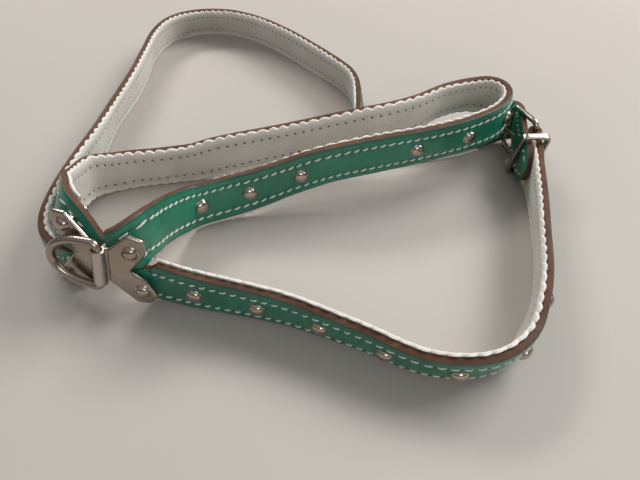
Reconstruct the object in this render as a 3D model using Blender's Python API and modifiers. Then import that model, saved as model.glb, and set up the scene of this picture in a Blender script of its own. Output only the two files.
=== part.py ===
"""Two-loop riveted leather dog harness lying on a table, as separate pieces.

Laid out in millimetres with X right, Y away and Z up from the table, then moved
so that the middle of the footprint is the origin. Every strap is a band on edge
that follows stations. A junction plate at the near left joins the four strap
ends, and the buckle closes the larger loop at the right.
"""

import math

import bmesh
import bpy
import numpy as np
from mathutils import Matrix, Vector

MM = 0.001
ORIGIN = Vector((-1.252, -0.640, -0.004))  # layout point that becomes the middle of the footprint
FIT = 0.1  # clearance round rivets, studs and the buckle's bar

# -- strap section, measured along the normal from the middle of the stack --
LEATHER_W = 18.0
LEATHER_T = 3.0
LEATHER_CHAMFER = 0.5
LINING_W = 20.0
LINING_T = 1.0
LAYER_GAP = 0.3
STACK_T = LEATHER_T + LAYER_GAP + LINING_T
LEATHER_BACK = STACK_T / 2 - LEATHER_T
LEATHER_FRONT = STACK_T / 2
# half width, back and front of each layer
LEATHER_SECTION = (LEATHER_W / 2, LEATHER_BACK, LEATHER_FRONT)
LINING_SECTION = (LINING_W / 2, -STACK_T / 2, -STACK_T / 2 + LINING_T)

# -- strap stations: x, y, height of the middle, lean in degrees --
NECK = [
    (-74.5, -82, 23.1, 28), (-82.3, -74.4, 29.7, 30), (-87.2, -64.8, 25.6, 24),
    (-92.3, -53.6, 18, 14), (-93, -43, 13, 8), (-91, -34.5, 10.6, 4),
    (-83.5, -28.8, 10.2, 4), (-62.6, -24.4, 10.2, 8), (-49.3, -22, 10.5, 6),
    (-39.1, -21.2, 12.9, 2), (-9.3, -16.5, 17.1, 8), (18.7, -12.5, 21.2, 6),
    (30, -10.5, 22, 2), (43.6, -4, 21.9, 4), (57.3, 6.6, 22.2, 14),
    (70.8, 13, 21.9, 18), (79.2, 13.3, 21.9, 13), (84.4, 8.5, 22, 6),
    (85.2, 0.3, 22.1, 3), (79, -9.5, 22, 0), (65.1, -18.5, 22.2, -6),
    (48.8, -25.2, 22.1, -7), (24.3, -32.8, 22, -4), (5.3, -37.9, 21, -4),
    (-7.2, -40.2, 17.9, -2), (-22, -44.4, 14.6, 3), (-34.7, -47.3, 12.2, 8),
    (-44.8, -51.6, 12.1, 7), (-50.6, -59.4, 14.8, 2), (-52.6, -69.4, 20.6, -2),
    (-53.2, -76.5, 23.8, 0), (-54.4, -82.3, 25.8, 5), (-58.5, -85.1, 25, 10),
    (-66.5, -86.1, 20.4, 11),
]
TONGUE = [
    (-74.7, -83.3, 15.5, 12), (-83.3, -82, 10.8, 7), (-93.3, -73.8, 10.2, 1),
    (-97.5, -64, 10.2, 0), (-99, -50, 10.2, 2), (-98.4, -30.7, 10.2, 6),
    (-96.8, -9.5, 10.2, 13), (-95.8, 17.5, 10, 20), (-93.4, 39.8, 10.2, 16),
    (-92.8, 61.7, 10.2, 15), (-92.6, 86.1, 10.2, 19), (-88.5, 101.4, 10.1, 22),
    (-80.5, 112.4, 9.8, 28), (-69, 117.5, 9.5, 30), (-51.2, 115, 10, 25),
    (-33.9, 105.1, 10.1, 19), (-14.6, 86.6, 10.2, 13), (-0.1, 69.4, 10.2, 12),
    (13.5, 52.5, 10.2, 15), (19.5, 41.6, 10.2, 11), (21.8, 31, 10.2, 8),
    (23, 16, 9.5, 16), (27, 4, 6, 55), (36, -1.5, 2.15, 90),
    (46, -1, 2.15, 90), (56, 1, 2.15, 90), (67, 4.5, 2.15, 90), (72.5, 6.8, 2.15, 90),
    (79, 9.5, 3.2, 102), (88, 11.5, 7, 132), (94, 8.6, 11, 178),
    (95.2, 3, 11.9, 184), (93.1, -4, 11.9, 180), (91.8, -11, 11.9, 180),
    (90.7, -18, 11.9, 180), (90, -28.5, 11.7, 180),
]
BUCKLE = [
    (-64.1, -86.6, 14, 10), (-54.5, -86.9, 10.4, 3), (-39.9, -91.4, 10.2, -2),
    (-20, -96.5, 10.2, -7), (-7.3, -100.2, 10.2, -9), (15.4, -110, 10.2, -14),
    (36.5, -119.7, 10.2, -17), (53.5, -119.8, 10.2, -15), (65.5, -112.8, 10, -10),
    (73.6, -101, 10.2, -2), (79.2, -89.5, 10.2, 5), (84.2, -72.7, 10.2, 9),
    (89.3, -50.9, 10.2, 7), (92.8, -32, 10.6, 4), (93.6, -27, 11.2, 2),
    (94, -22.5, 11.7, 0), (94.25, -19.5, 11.9, 0),
]
# which side of the direction of travel the leather faces
LEFT_SIDE, RIGHT_SIDE = -1.0, 1.0

STATION_STEP = 0.5  # spacing of points on the smooth curve
SMOOTHING_PASSES = 3
CUT_TURN = 11.0  # degrees of turning before a new section
CUT_LONGEST = 11.0  # longest run without a section
CUT_FIRST = 1.5  # nearest a section may come to the band's start
CUT_STEP = 0.5  # spacing of the places tried
CUT_MARGIN = 0.7  # a section this close to either end is left out

# -- where the leather splits and the linings start and stop, as lengths along a band --
SPLIT_GAP = 0.6
HALF_GAP = SPLIT_GAP / 2
NECK_SPLITS = (12.0, 24.0)  # from each riveted end
TONGUE_SPLIT = 11.5
BUCKLE_SPLIT = 13.5
NECK_LINING_ENDS = (1.5, 1.0)  # past each split
GIRTH_LINING_START = 1.0  # past the split
TONGUE_LINING_END = 62.0  # bare length before the tip
BUCKLE_LINING_END = 0.6  # bare length before the fold's run-in
TRIM_SHORT, TRIM_LONG = 60.0, 90.0  # blocks that trim the strap ends under the plate

# -- junction plate: two leaves that meet at an upright barrel --
PLATE_AT = Vector((-68.0, -89.0, 19.0))
PLATE_BEND = 20.0
PLATE_T = 1.6
BARREL_LENGTH = 16.0
BARREL_LIFT = 1.6  # the barrel sits this far above the plate's middle
BARREL_R = 2.3
BARREL_OUT = 1.8  # barrel axis in front of the middle of the plate's thickness
BORE_R = 1.5
BORE_EXTRA = 4.0  # extra length of the cylinders that cut the bore and its clearance
# leaf outlines: distance out from the barrel, height
RIGHT_LEAF = [
    (-1.2, 8.8), (2.2, 9.0), (8.4, 15.3), (13.6, 13.7), (13.9, 8.0), (8.7, 0.5),
    (14.2, -3.6), (17.7, -9.6), (15.2, -12.9), (10.6, -13.0), (2.2, -6.2), (-1.2, -5.8),
]
LEFT_LEAF = [
    (-1.0, 8.8), (2.2, 9.0), (5.1, 11.9), (12.2, 18.2), (17.0, 17.8), (18.1, 13.6),
    (15.0, 7.4), (10.4, 2.8), (14.2, -2.8), (17.4, -7.2), (15.2, -12.2), (10.4, -12.6),
    (2.2, -6.2), (-1.0, -5.8),
]

# the plate's axes: up the barrel, out along each leaf, and each leaf's front face
UP = Vector((0.156, 0.174, 0.972)).normalized()
RIGHT = Vector((0.988, -0.0275, -0.154))
RIGHT = (RIGHT - UP * RIGHT.dot(UP)).normalized()
FACE_RIGHT = RIGHT.cross(UP).normalized()
LEFT = (Matrix.Rotation(math.radians(-PLATE_BEND), 3, UP) @ -RIGHT).normalized()
FACE_LEFT = UP.cross(LEFT).normalized()
BARREL_AT = PLATE_AT + (FACE_RIGHT + FACE_LEFT).normalized() * (BARREL_OUT + PLATE_T / 2)

# -- plate rivets --
RIVET_R = 1.2
RIVET_HOLE_R = RIVET_R + FIT
RIVET_SIDES = 12
RIVET_HEAD_R = 2.2
RIVET_HEAD_H = 1.1
RIVET_HEAD_GAP = 0.05  # head's base in front of the plate
STEM_IN_HEAD = 0.3  # stem's top in front of the plate
STEM_PAST_BACK = 1.4  # stem's end behind the cap's front
CAP_R = 2.3
CAP_BACK_R = 2.0
CAP_T = 0.8
CAP_GAP = 0.6
# strap end under the rivet, leaf direction, leaf face, distance out, height
RIVETS = [
    ("right_upper", RIGHT, FACE_RIGHT, 9.2, 8.4),
    ("right_lower", RIGHT, FACE_RIGHT, 12.6, -7.4),
    ("left_upper", LEFT, FACE_LEFT, 13.2, 13.3),
    ("left_lower", LEFT, FACE_LEFT, 13.6, -7.2),
]

# -- D-ring: heights are along the barrel from the plate's middle --
RING_WIRE_R = 1.4
RING_TOP = 11.6
RING_BOTTOM = -8.4
RING_REACH = 16.9
RING_TILT = 9.0
RING_CORNER = 1.8
RING_BOW_STEPS = 16
RING_BOW_POWER = 0.85  # below 1 makes the bow fuller than an ellipse

# -- buckle: an upright frame from the bar to the rim --
BAR_AT = (96.0, -12.0)
RIM_AT = (90.2, 2.5)
FRAME_WIRE_R = 1.2
FRAME_LOW = 1.4
FRAME_HIGH = 22.4
FRAME_CORNER = 2.4
STRAP_MID = 11.9
PRONG_Z = 10.6
PRONG_R = 0.9
PRONG_ARM = [  # x, y, share of the prong's radius
    (94.3, -10.7, 1.0), (93.2, -8.6, 1.0), (90.4, -1.8, 0.95), (88.2, 2.2, 0.8), (87.9, 3.8, 0.6),
]
KEEPER_AT = (92.6, -19.6, 12.0)
KEEPER_INSIDE = (9.2, 21.0)  # across and up
KEEPER_T = 1.5
KEEPER_W = 3.0
KEEPER_LEAN = 13.0
KEEPER_ROUND = 1.0

# -- end of the buckle strap, folded round the bar: x, y, thickness, width --
FOLD_RUN_IN = [(95.0, -17.6, 2.8, 17.6), (96.4, -15.4, 2.3, 17.0), (97.9, -13.7, 1.8, 16.2)]
FOLD_R = 2.3
FOLD_T = 1.6
FOLD_W = 15.6
FOLD_STEP = 20  # degrees
FOLD_FLAP = [(-2.35, -1.4, 1.5), (-2.2, -2.7, 1.3)]  # x and y from the bar, thickness
# prong slots: centre, size
FOLD_SLOT = ((BAR_AT[0], BAR_AT[1] + 0.3, PRONG_Z), (7.2, 7.6, 2.8))
TONGUE_SLOT = ((91.9, -7.8, PRONG_Z), (9.0, 13.4, 2.8))

# -- studs --
STUD_R = 3.0
STUD_H = 2.0
STUD_SIDES = 14
STUD_GAP = 0.02  # stud's base in front of the leather
STUD_CUT_H = 3.0
NECK_STUDS = [-43.9, -24.9, -5.0, 41.5, 63.9, 82.5]  # x of each on the near run
BUCKLE_STUD_FIRST = 27.0
BUCKLE_STUD_PITCH = 22.1
BUCKLE_STUDS = 7


# -- scene and materials --
def clear_scene():
    for obj in list(bpy.data.objects):
        bpy.data.objects.remove(obj, do_unlink=True)


def collection(name):
    made = bpy.data.collections.new(name)
    bpy.context.scene.collection.children.link(made)
    return made


def material(name, colour, roughness, metallic):
    made = bpy.data.materials.new(name)
    made.use_nodes = True
    shader = made.node_tree.nodes["Principled BSDF"]
    shader.inputs["Base Color"].default_value = (*colour, 1.0)
    shader.inputs["Roughness"].default_value = roughness
    shader.inputs["Metallic"].default_value = metallic
    return made


clear_scene()
PIECES = collection("two_loop_harness")
TOOLS = collection("cutters")
GREEN = material("green_leather", colour=(0.02, 0.19, 0.12), roughness=0.42, metallic=0.0)
CREAM = material("cream_lining", colour=(0.72, 0.69, 0.62), roughness=0.9, metallic=0.0)
NICKEL = material("nickel", colour=(0.52, 0.47, 0.42), roughness=0.28, metallic=1.0)


# -- placing --
def axes(x, y, z, at):
    return Matrix.Translation(Vector(at) * MM) @ Matrix((x, y, z)).transposed().to_4x4()


def facing(normal, at, along=(0.0, 0.0, 1.0)):
    """A matrix whose Z looks along normal and whose X is square to along."""
    z = Vector(normal).normalized()
    x = Vector(along).cross(z).normalized()
    return axes(x, z.cross(x), z, at)


def shift_to(at):
    return Matrix.Translation(Vector(at) * MM)


# -- solids: one with a material is a piece, one without is a tool that join_or_cut uses up --
def outward(bm):
    """Turns every face to look out of the solid."""
    bm.normal_update()
    bmesh.ops.recalc_face_normals(bm, faces=bm.faces)
    if bm.calc_volume(signed=True) < 0:
        bmesh.ops.reverse_faces(bm, faces=bm.faces)


def finish(bm, name, mat, smooth=True):
    mesh = bpy.data.meshes.new(name)
    outward(bm)
    bm.to_mesh(mesh)
    bm.free()
    obj = bpy.data.objects.new(name, mesh)
    if mat:
        PIECES.objects.link(obj)
        mesh.materials.append(mat)
    else:
        TOOLS.objects.link(obj)
    if smooth:
        mesh.shade_smooth()
        mesh.set_sharp_from_angle(angle=math.radians(35))
    return obj


def evaluated_mesh(obj):
    graph = bpy.context.evaluated_depsgraph_get()
    graph.update()
    return bpy.data.meshes.new_from_object(obj.evaluated_get(graph))


def apply_modifiers(obj):
    mesh = evaluated_mesh(obj)
    obj.modifiers.clear()
    obj.data = mesh


def join_or_cut(target, tools, operation="DIFFERENCE"):
    """Cuts the tools from the target, or joins them to it, and removes them."""
    for tool in tools:
        mod = target.modifiers.new("cut", "BOOLEAN")
        mod.solver = "EXACT"
        mod.operation = operation
        mod.object = tool
        apply_modifiers(target)
    bm = bmesh.new()
    bm.from_mesh(target.data)
    bmesh.ops.dissolve_degenerate(bm, dist=1e-7, edges=bm.edges)
    bm.to_mesh(target.data)
    bm.free()
    for tool in tools:
        bpy.data.objects.remove(tool, do_unlink=True)


def bridge(bm, low, high):
    """Quads between two rings of vertices."""
    for k in range(len(low)):
        j = (k + 1) % len(low)
        bm.faces.new((low[k], low[j], high[j], high[k]))


def prism(name, outline, thick, mat=None):
    """A flat outline in XY extruded both ways by half the thickness."""
    bm = bmesh.new()
    low = [bm.verts.new((x * MM, y * MM, -thick / 2 * MM)) for x, y in outline]
    high = [bm.verts.new((x * MM, y * MM, thick / 2 * MM)) for x, y in outline]
    bm.faces.new(low[::-1])
    bm.faces.new(high)
    bridge(bm, low, high)
    return finish(bm, name, mat, smooth=False)


def block(name, size, placement, mat=None):
    bm = bmesh.new()
    bmesh.ops.create_cube(bm, size=1.0)
    bm.transform(placement @ Matrix.Diagonal((*(length * MM for length in size), 1.0)))
    return finish(bm, name, mat, smooth=False)


def cylinder(name, radius, length, sides, placement, mat=None, top_radius=None):
    bm = bmesh.new()
    bmesh.ops.create_cone(
        bm, cap_ends=True, segments=sides, radius1=radius * MM,
        radius2=(radius if top_radius is None else top_radius) * MM, depth=length * MM)
    bm.transform(placement)
    return finish(bm, name, mat)


def dome(name, radius, height, sides, placement, rings=3):
    """A domed nickel head with its flat base at z = 0."""
    bm = bmesh.new()
    rows = []
    for k in range(rings):
        rise = math.pi / 2 * k / rings
        row = []
        for i in range(sides):
            turn = 2 * math.pi * i / sides
            row.append(bm.verts.new((
                radius * math.cos(rise) * math.cos(turn) * MM,
                radius * math.cos(rise) * math.sin(turn) * MM,
                height * math.sin(rise) * MM)))
        rows.append(row)
    tip = bm.verts.new((0, 0, height * MM))
    for low, high in zip(rows, rows[1:]):
        bridge(bm, low, high)
    for i in range(sides):
        bm.faces.new((rows[-1][i], rows[-1][(i + 1) % sides], tip))
    bm.faces.new(rows[0][::-1])
    bm.transform(placement)
    return finish(bm, name, NICKEL)


def wire(name, points, radius, mat=None, scales=None):
    """A round wire through the points: a closed ring, or an open rod where scales are given."""
    curve = bpy.data.curves.new(name, "CURVE")
    curve.dimensions = "3D"
    curve.bevel_depth = radius * MM
    curve.bevel_resolution = 2
    curve.use_fill_caps = scales is not None
    spline = curve.splines.new("POLY")
    spline.points.add(len(points) - 1)
    for i, point in enumerate(points):
        spline.points[i].co = (*(Vector(point) * MM), 1.0)
        if scales:
            spline.points[i].radius = scales[i]
    spline.use_cyclic_u = scales is None
    path = bpy.data.objects.new(name + "_path", curve)
    TOOLS.objects.link(path)
    mesh = evaluated_mesh(path)
    bpy.data.objects.remove(path, do_unlink=True)
    bm = bmesh.new()
    bm.from_mesh(mesh)
    bmesh.ops.remove_doubles(bm, verts=bm.verts, dist=1e-6)
    obj = finish(bm, name, mat, smooth=False)
    obj.data.shade_smooth()
    return obj


# -- bands --
def blend(t, start, end, first, second):
    return (end - t) / (end - start) * first + (t - start) / (end - start) * second


def smooth_curve(stations):
    """Points along the centripetal Catmull-Rom curve through the stations."""
    pts = np.array(stations, float)
    pts = np.vstack([2 * pts[0] - pts[1], pts, 2 * pts[-1] - pts[-2]])
    out = []
    for i in range(1, len(pts) - 2):
        p0, p1, p2, p3 = pts[i - 1:i + 3]
        spans = [np.linalg.norm((b - a)[:3]) ** 0.5 for a, b in ((p0, p1), (p1, p2), (p2, p3))]
        t0, t1, t2, t3 = np.cumsum([0.0, *spans])
        count = max(4, int(np.linalg.norm((p2 - p1)[:3]) / STATION_STEP))
        for k in range(count):
            t = t1 + (t2 - t1) * k / count
            a1 = blend(t, t0, t1, p0, p1)
            a2 = blend(t, t1, t2, p1, p2)
            a3 = blend(t, t2, t3, p2, p3)
            b1 = blend(t, t0, t2, a1, a2)
            b2 = blend(t, t1, t3, a2, a3)
            out.append(blend(t, t1, t2, b1, b2))
    out.append(pts[-2])
    return np.array(out)


class Band:
    """A strap's middle surface: middle, heading, width direction and normal at any length."""

    def __init__(self, stations, side):
        pts = smooth_curve(stations)
        steps = np.linalg.norm(np.diff(pts[:, :3], axis=0), axis=1)
        run = np.concatenate([[0], np.cumsum(steps)])
        self.length = float(run[-1])
        self.lengths = np.linspace(0, self.length, int(self.length) + 1)
        middle = np.stack([np.interp(self.lengths, run, pts[:, j]) for j in range(3)], 1)
        lean = np.radians(np.interp(self.lengths, run, pts[:, 3]))
        for _ in range(SMOOTHING_PASSES):
            middle[1:-1] = (middle[:-2] + 2 * middle[1:-1] + middle[2:]) / 4
        heading = np.gradient(middle, axis=0)
        heading /= np.linalg.norm(heading, axis=1)[:, None]
        right = np.cross(heading, [0.0, 0.0, 1.0])
        right /= np.linalg.norm(right, axis=1)[:, None]
        upward = np.cross(right, heading)
        out = side * right
        normal = np.cos(lean)[:, None] * out + np.sin(lean)[:, None] * upward
        width = np.cos(lean)[:, None] * upward - np.sin(lean)[:, None] * out
        # lift the band wherever a corner of either layer would go below the table
        lowest = np.minimum.reduce([
            sign * width[:, 2] * half + normal[:, 2] * offset
            for sign in (-1, 1)
            for half, *offsets in (LINING_SECTION, LEATHER_SECTION)
            for offset in offsets
        ])
        middle[:, 2] = np.maximum(middle[:, 2], -lowest)
        self.middle = middle
        self.heading = heading
        self.width = width
        self.normal = normal

    def at(self, length):
        middle, *directions = [
            np.array([np.interp(length, self.lengths, values[:, j]) for j in range(3)])
            for values in (self.middle, self.heading, self.width, self.normal)
        ]
        return [middle] + [v / np.linalg.norm(v) for v in directions]

    def cuts(self, start, end):
        """Lengths for sections, placed by turning and distance, the same for both layers."""
        grid = [0.0]
        last = self.at(0.0)
        for length in np.arange(CUT_FIRST, self.length, CUT_STEP):
            now = self.at(length)
            bend = max(
                math.degrees(math.acos(min(1.0, float(np.dot(now[k], last[k])))))
                for k in (1, 2, 3))
            if bend > CUT_TURN or length - grid[-1] > CUT_LONGEST:
                grid.append(float(length))
                last = now
        inside = [v for v in grid if start + CUT_MARGIN < v < end - CUT_MARGIN]
        return [start] + inside + [end]

    def rows(self, start, end, section):
        """Loft rows with the same section all along."""
        rows = []
        for length in self.cuts(start, end):
            middle, _, width, normal = self.at(length)
            rows.append((middle, width, normal, *section))
        return rows


def loft(name, rows, chamfer, mat):
    """A solid strap; each row is middle, width direction, normal, half width, back, front."""
    bm = bmesh.new()
    rings = []
    for middle, width, normal, half, lo, hi in rows:
        if chamfer:
            c = chamfer
            flat = [
                (-half + c, lo), (half - c, lo), (half, lo + c), (half, hi - c),
                (half - c, hi), (-half + c, hi), (-half, hi - c), (-half, lo + c),
            ]
        else:
            flat = [(-half, lo), (half, lo), (half, hi), (-half, hi)]
        rings.append([bm.verts.new(Vector(middle + width * a + normal * b) * MM) for a, b in flat])
    count = len(flat)
    for a, b in zip(rings, rings[1:]):
        for k in range(count):
            j = (k + 1) % count
            if flat[k][0] > flat[j][0]:  # both layers fold along the same diagonal
                bm.faces.new((a[k], a[j], b[k]))
                bm.faces.new((a[j], b[j], b[k]))
            else:
                bm.faces.new((a[k], a[j], b[j]))
                bm.faces.new((a[k], b[j], b[k]))
    bm.faces.new(rings[0][::-1])
    bm.faces.new(rings[-1])
    return finish(bm, name, mat, smooth=False)


def leather(name, band, start, end):
    return loft(name, band.rows(start, end, LEATHER_SECTION), LEATHER_CHAMFER, GREEN)


def lining(name, band, start, end):
    return loft(name, band.rows(start, end, LINING_SECTION), 0, CREAM)


# -- straps --
def neck_strap(band):
    first = NECK_SPLITS[0]
    last = band.length - NECK_SPLITS[1]
    lining("neck_strap_lining", band, first + NECK_LINING_ENDS[0], last - NECK_LINING_ENDS[1])
    return leather("neck_strap_leather", band, first + HALF_GAP, last - HALF_GAP)


def tongue_strap(band):
    lining("girth_tongue_strap_lining", band,
           TONGUE_SPLIT + GIRTH_LINING_START, band.length - TONGUE_LINING_END)
    strap = leather("girth_tongue_strap_leather", band, TONGUE_SPLIT + HALF_GAP, band.length)
    cut_slot(strap, TONGUE_SLOT)


def buckle_strap(band):
    """The strap whose leather runs past its band, thins and folds round the buckle's bar."""
    lining("girth_buckle_strap_lining", band,
           BUCKLE_SPLIT + GIRTH_LINING_START, band.length - BUCKLE_LINING_END)
    rows = band.rows(BUCKLE_SPLIT + HALF_GAP, band.length, LEATHER_SECTION)
    tail = list(FOLD_RUN_IN)
    for degrees in range(0, 181, FOLD_STEP):
        a = math.radians(degrees)
        x = BAR_AT[0] + FOLD_R * math.cos(a)
        y = BAR_AT[1] + FOLD_R * math.sin(a)
        tail.append((x, y, FOLD_T, FOLD_W))
    tail += [(BAR_AT[0] + x, BAR_AT[1] + y, thick, FOLD_W) for x, y, thick in FOLD_FLAP]

    middles = np.array([[x, y, STRAP_MID] for x, y, _, _ in tail])
    middle, _, normal = rows[-1][:3]
    before = middle + normal * (LEATHER_BACK + LEATHER_FRONT) / 2
    headings = np.gradient(np.vstack([before, middles]), axis=0)[1:]
    for middle, heading, (_, _, thick, wide) in zip(middles, headings, tail):
        heading = heading / np.linalg.norm(heading)
        normal = np.array([heading[1], -heading[0], 0.0])
        width = np.array([0.0, 0.0, 1.0])
        rows.append((middle, width, normal, wide / 2, -thick / 2, thick / 2))
    strap = loft("girth_buckle_strap_leather", rows, LEATHER_CHAMFER, GREEN)
    cut_slot(strap, FOLD_SLOT)
    return strap


def cut_slot(strap, slot):
    centre, size = slot
    join_or_cut(strap, [block("slot", size, shift_to(centre))])


def strap_ends(neck, tongue, buckle):
    """The four leather ends under the plate, trimmed to stop short of each other."""
    ends = {
        "left_upper": leather("neck_strap_left_end", neck, 0.0, NECK_SPLITS[0] - HALF_GAP),
        "right_upper": leather("neck_strap_right_end", neck,
                               neck.length - NECK_SPLITS[1] + HALF_GAP, neck.length),
        "left_lower": leather("girth_tongue_strap_end", tongue, 0.0, TONGUE_SPLIT - HALF_GAP),
        "right_lower": leather("girth_buckle_strap_end", buckle, 0.0, BUCKLE_SPLIT - HALF_GAP),
    }
    reach = TRIM_SHORT / 2 - HALF_GAP
    for key, end in ends.items():
        side, level = key.split("_")
        rise = -reach if level == "upper" else reach
        shift = reach if side == "left" else -reach
        join_or_cut(end, [
            block("trim_level", (TRIM_LONG, TRIM_SHORT, TRIM_SHORT),
                  axes(RIGHT, UP, FACE_RIGHT, PLATE_AT + UP * rise)),
            block("trim_side", (TRIM_SHORT, TRIM_LONG, TRIM_SHORT),
                  axes(RIGHT, UP, FACE_RIGHT, PLATE_AT + RIGHT * shift)),
        ])
    return ends


# -- junction plate and rivets --
def barrel_cylinder(name, radius, length, sides):
    placement = facing(UP, BARREL_AT + UP * BARREL_LIFT, along=RIGHT)
    return cylinder(name, radius, length, sides, placement)


def plate_leaf(name, outline, out, face, depth, mat=None):
    """A leaf with its back on the plate's middle, cleared round the barrel's bore."""
    leaf = prism(name, outline, PLATE_T, mat)
    leaf.data.transform(axes(out, UP, depth, PLATE_AT + face * PLATE_T / 2))
    clearance = barrel_cylinder(
        "clearance", (BORE_R + BARREL_R) / 2, BARREL_LENGTH + BORE_EXTRA, sides=18)
    join_or_cut(leaf, [clearance])
    return leaf


def rivet_at(out, along_leaf, height):
    return PLATE_AT + out * along_leaf + UP * height


def junction_plate():
    barrel = barrel_cylinder("barrel", BARREL_R, BARREL_LENGTH, sides=20)
    bore = barrel_cylinder("bore", BORE_R, BARREL_LENGTH + BORE_EXTRA, sides=16)
    join_or_cut(barrel, [bore])
    plate = plate_leaf("junction_plate", RIGHT_LEAF, RIGHT, FACE_RIGHT, FACE_RIGHT, NICKEL)
    left_leaf = plate_leaf("left_leaf", LEFT_LEAF, LEFT, FACE_LEFT, -FACE_LEFT)
    join_or_cut(plate, [left_leaf, barrel], "UNION")
    join_or_cut(plate, [
        cylinder("hole_" + key, RIVET_HOLE_R, 5.0, RIVET_SIDES,
                 facing(face, rivet_at(out, along_leaf, height) + face * PLATE_T / 2))
        for key, out, face, along_leaf, height in RIVETS
    ])
    bm = bmesh.new()
    bm.from_mesh(plate.data)
    bmesh.ops.triangulate(bm, faces=bm.faces)
    bm.to_mesh(plate.data)
    bm.free()


def cap_depth(band, at, face):
    """How far behind the plate's back a cap clears the leather's own back all round."""
    def off_axis(k):
        offset = Vector(band.middle[k]) - at
        return (offset - face * offset.dot(face)).length

    near = [k for k, length in enumerate(band.lengths)
            if length < 30 or length > band.length - 30]
    k = min(near, key=off_axis)
    normal = Vector(band.normal[k])
    lean = math.acos(min(1.0, normal.dot(face)))
    back_point = Vector(band.middle[k]) + normal * LEATHER_BACK
    surface = (at - back_point).dot(normal) / normal.dot(face)
    return surface + CAP_R * math.tan(lean) + CAP_GAP


def plate_rivet(key, at, face, strap_end, band):
    """A headed rivet through plate and strap end, and the cap on its back."""
    depth = cap_depth(band, at, face)
    head = dome("plate_rivet_" + key, RIVET_HEAD_R, RIVET_HEAD_H, RIVET_SIDES,
                facing(face, at + face * (PLATE_T + RIVET_HEAD_GAP)))
    stem_top = PLATE_T + STEM_IN_HEAD
    stem_length = stem_top + depth + STEM_PAST_BACK
    stem = cylinder("stem", RIVET_R, stem_length, RIVET_SIDES,
                    facing(face, at + face * (stem_top - stem_length / 2)))
    join_or_cut(head, [stem], "UNION")
    hole = cylinder("strap_hole", RIVET_HOLE_R, 20.0, RIVET_SIDES, facing(face, at - face * 5.0))
    join_or_cut(strap_end, [hole])
    cap_place = facing(face, at - face * (depth + CAP_T / 2))
    # the cap's wide end is its back, its top faces the leather
    cap = cylinder("rivet_cap_" + key, CAP_R, CAP_T, RIVET_SIDES, cap_place, NICKEL,
                   top_radius=CAP_BACK_R)
    join_or_cut(cap, [cylinder("cap_hole", RIVET_HOLE_R, 3.0, RIVET_SIDES, cap_place)])


# -- D-ring --
def d_ring():
    tilt = math.radians(RING_TILT)
    reach = (LEFT * math.cos(tilt) + FACE_LEFT * math.sin(tilt)).normalized()
    mid = (RING_TOP + RING_BOTTOM) / 2
    tall = (RING_TOP - RING_BOTTOM) / 2
    corner = RING_CORNER
    outline = [
        (0.0, -tall + corner), (0.0, tall - corner),
        (0.35 * corner, tall - 0.3 * corner), (corner, tall),
    ]
    for k in range(1, RING_BOW_STEPS):
        a = math.pi / 2 - math.pi * k / RING_BOW_STEPS
        out = corner + (RING_REACH - corner) * abs(math.cos(a)) ** RING_BOW_POWER
        outline.append((out, tall * math.sin(a)))
    outline += [(corner, -tall), (0.35 * corner, -tall + 0.3 * corner)]
    points = [BARREL_AT + reach * out + UP * (mid + rise) for out, rise in outline]
    wire("d_ring", points, RING_WIRE_R, NICKEL)


# -- buckle --
def buckle_frame():
    bar = Vector((*BAR_AT, 0.0))
    along = Vector((RIM_AT[0] - BAR_AT[0], RIM_AT[1] - BAR_AT[1], 0.0))
    rim_side = along.length - FRAME_CORNER
    along.normalize()
    low = FRAME_LOW + FRAME_CORNER
    high = FRAME_HIGH - FRAME_CORNER
    points = []
    # corner centre along and up, first angle
    for out, rise, first in (
            (FRAME_CORNER, low, 180), (rim_side, low, 270),
            (rim_side, high, 0), (FRAME_CORNER, high, 90)):
        for k in range(4):
            a = math.radians(first + 30 * k)
            z = rise + FRAME_CORNER * math.sin(a)
            points.append(bar + along * (out + FRAME_CORNER * math.cos(a)) + Vector((0, 0, z)))
    wire("buckle_frame", points, FRAME_WIRE_R, NICKEL)


def buckle_prong():
    """An eye round the bar joined to a tapering arm."""
    eye_r = FRAME_WIRE_R + FIT + PRONG_R
    centre = Vector((*BAR_AT, PRONG_Z))
    eye = []
    for k in range(16):
        a = 2 * math.pi * k / 16
        eye.append(Vector((eye_r * math.cos(a), eye_r * math.sin(a), 0)) + centre)
    prong = wire("buckle_prong", eye, PRONG_R, NICKEL)
    arm = wire("prong_arm", [(x, y, PRONG_Z) for x, y, _ in PRONG_ARM], PRONG_R,
               scales=[scale for _, _, scale in PRONG_ARM])
    join_or_cut(prong, [arm], "UNION")


def buckle_keeper():
    """A leaning rectangular loop round the straps, rounded on the outside."""
    half_x, half_z = KEEPER_INSIDE[0] / 2, KEEPER_INSIDE[1] / 2
    placement = shift_to(KEEPER_AT) @ Matrix.Rotation(math.radians(KEEPER_LEAN), 4, "X")
    outside = (2 * (half_x + KEEPER_T), KEEPER_W, 2 * (half_z + KEEPER_T))
    keeper = block("buckle_keeper", outside, placement, NICKEL)
    mod = keeper.modifiers.new("round", "BEVEL")
    mod.width = KEEPER_ROUND * MM
    mod.segments = 2
    mod.limit_method = "ANGLE"
    apply_modifiers(keeper)
    window = block("keeper_window", (2 * half_x, KEEPER_W + 4, 2 * half_z), placement)
    join_or_cut(keeper, [window])


# -- studs --
def stud(name, band, length, strap):
    """A domed stud, with the leather that rises past its base cut level."""
    middle, heading, _, normal = band.at(length)
    dome(name, STUD_R, STUD_H, STUD_SIDES,
         facing(normal, middle + normal * (LEATHER_FRONT + STUD_GAP), along=heading))
    seat = cylinder(
        "seat", STUD_R + FIT, STUD_CUT_H, STUD_SIDES,
        facing(normal, middle + normal * (LEATHER_FRONT + STUD_CUT_H / 2), along=heading))
    join_or_cut(strap, [seat])


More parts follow.
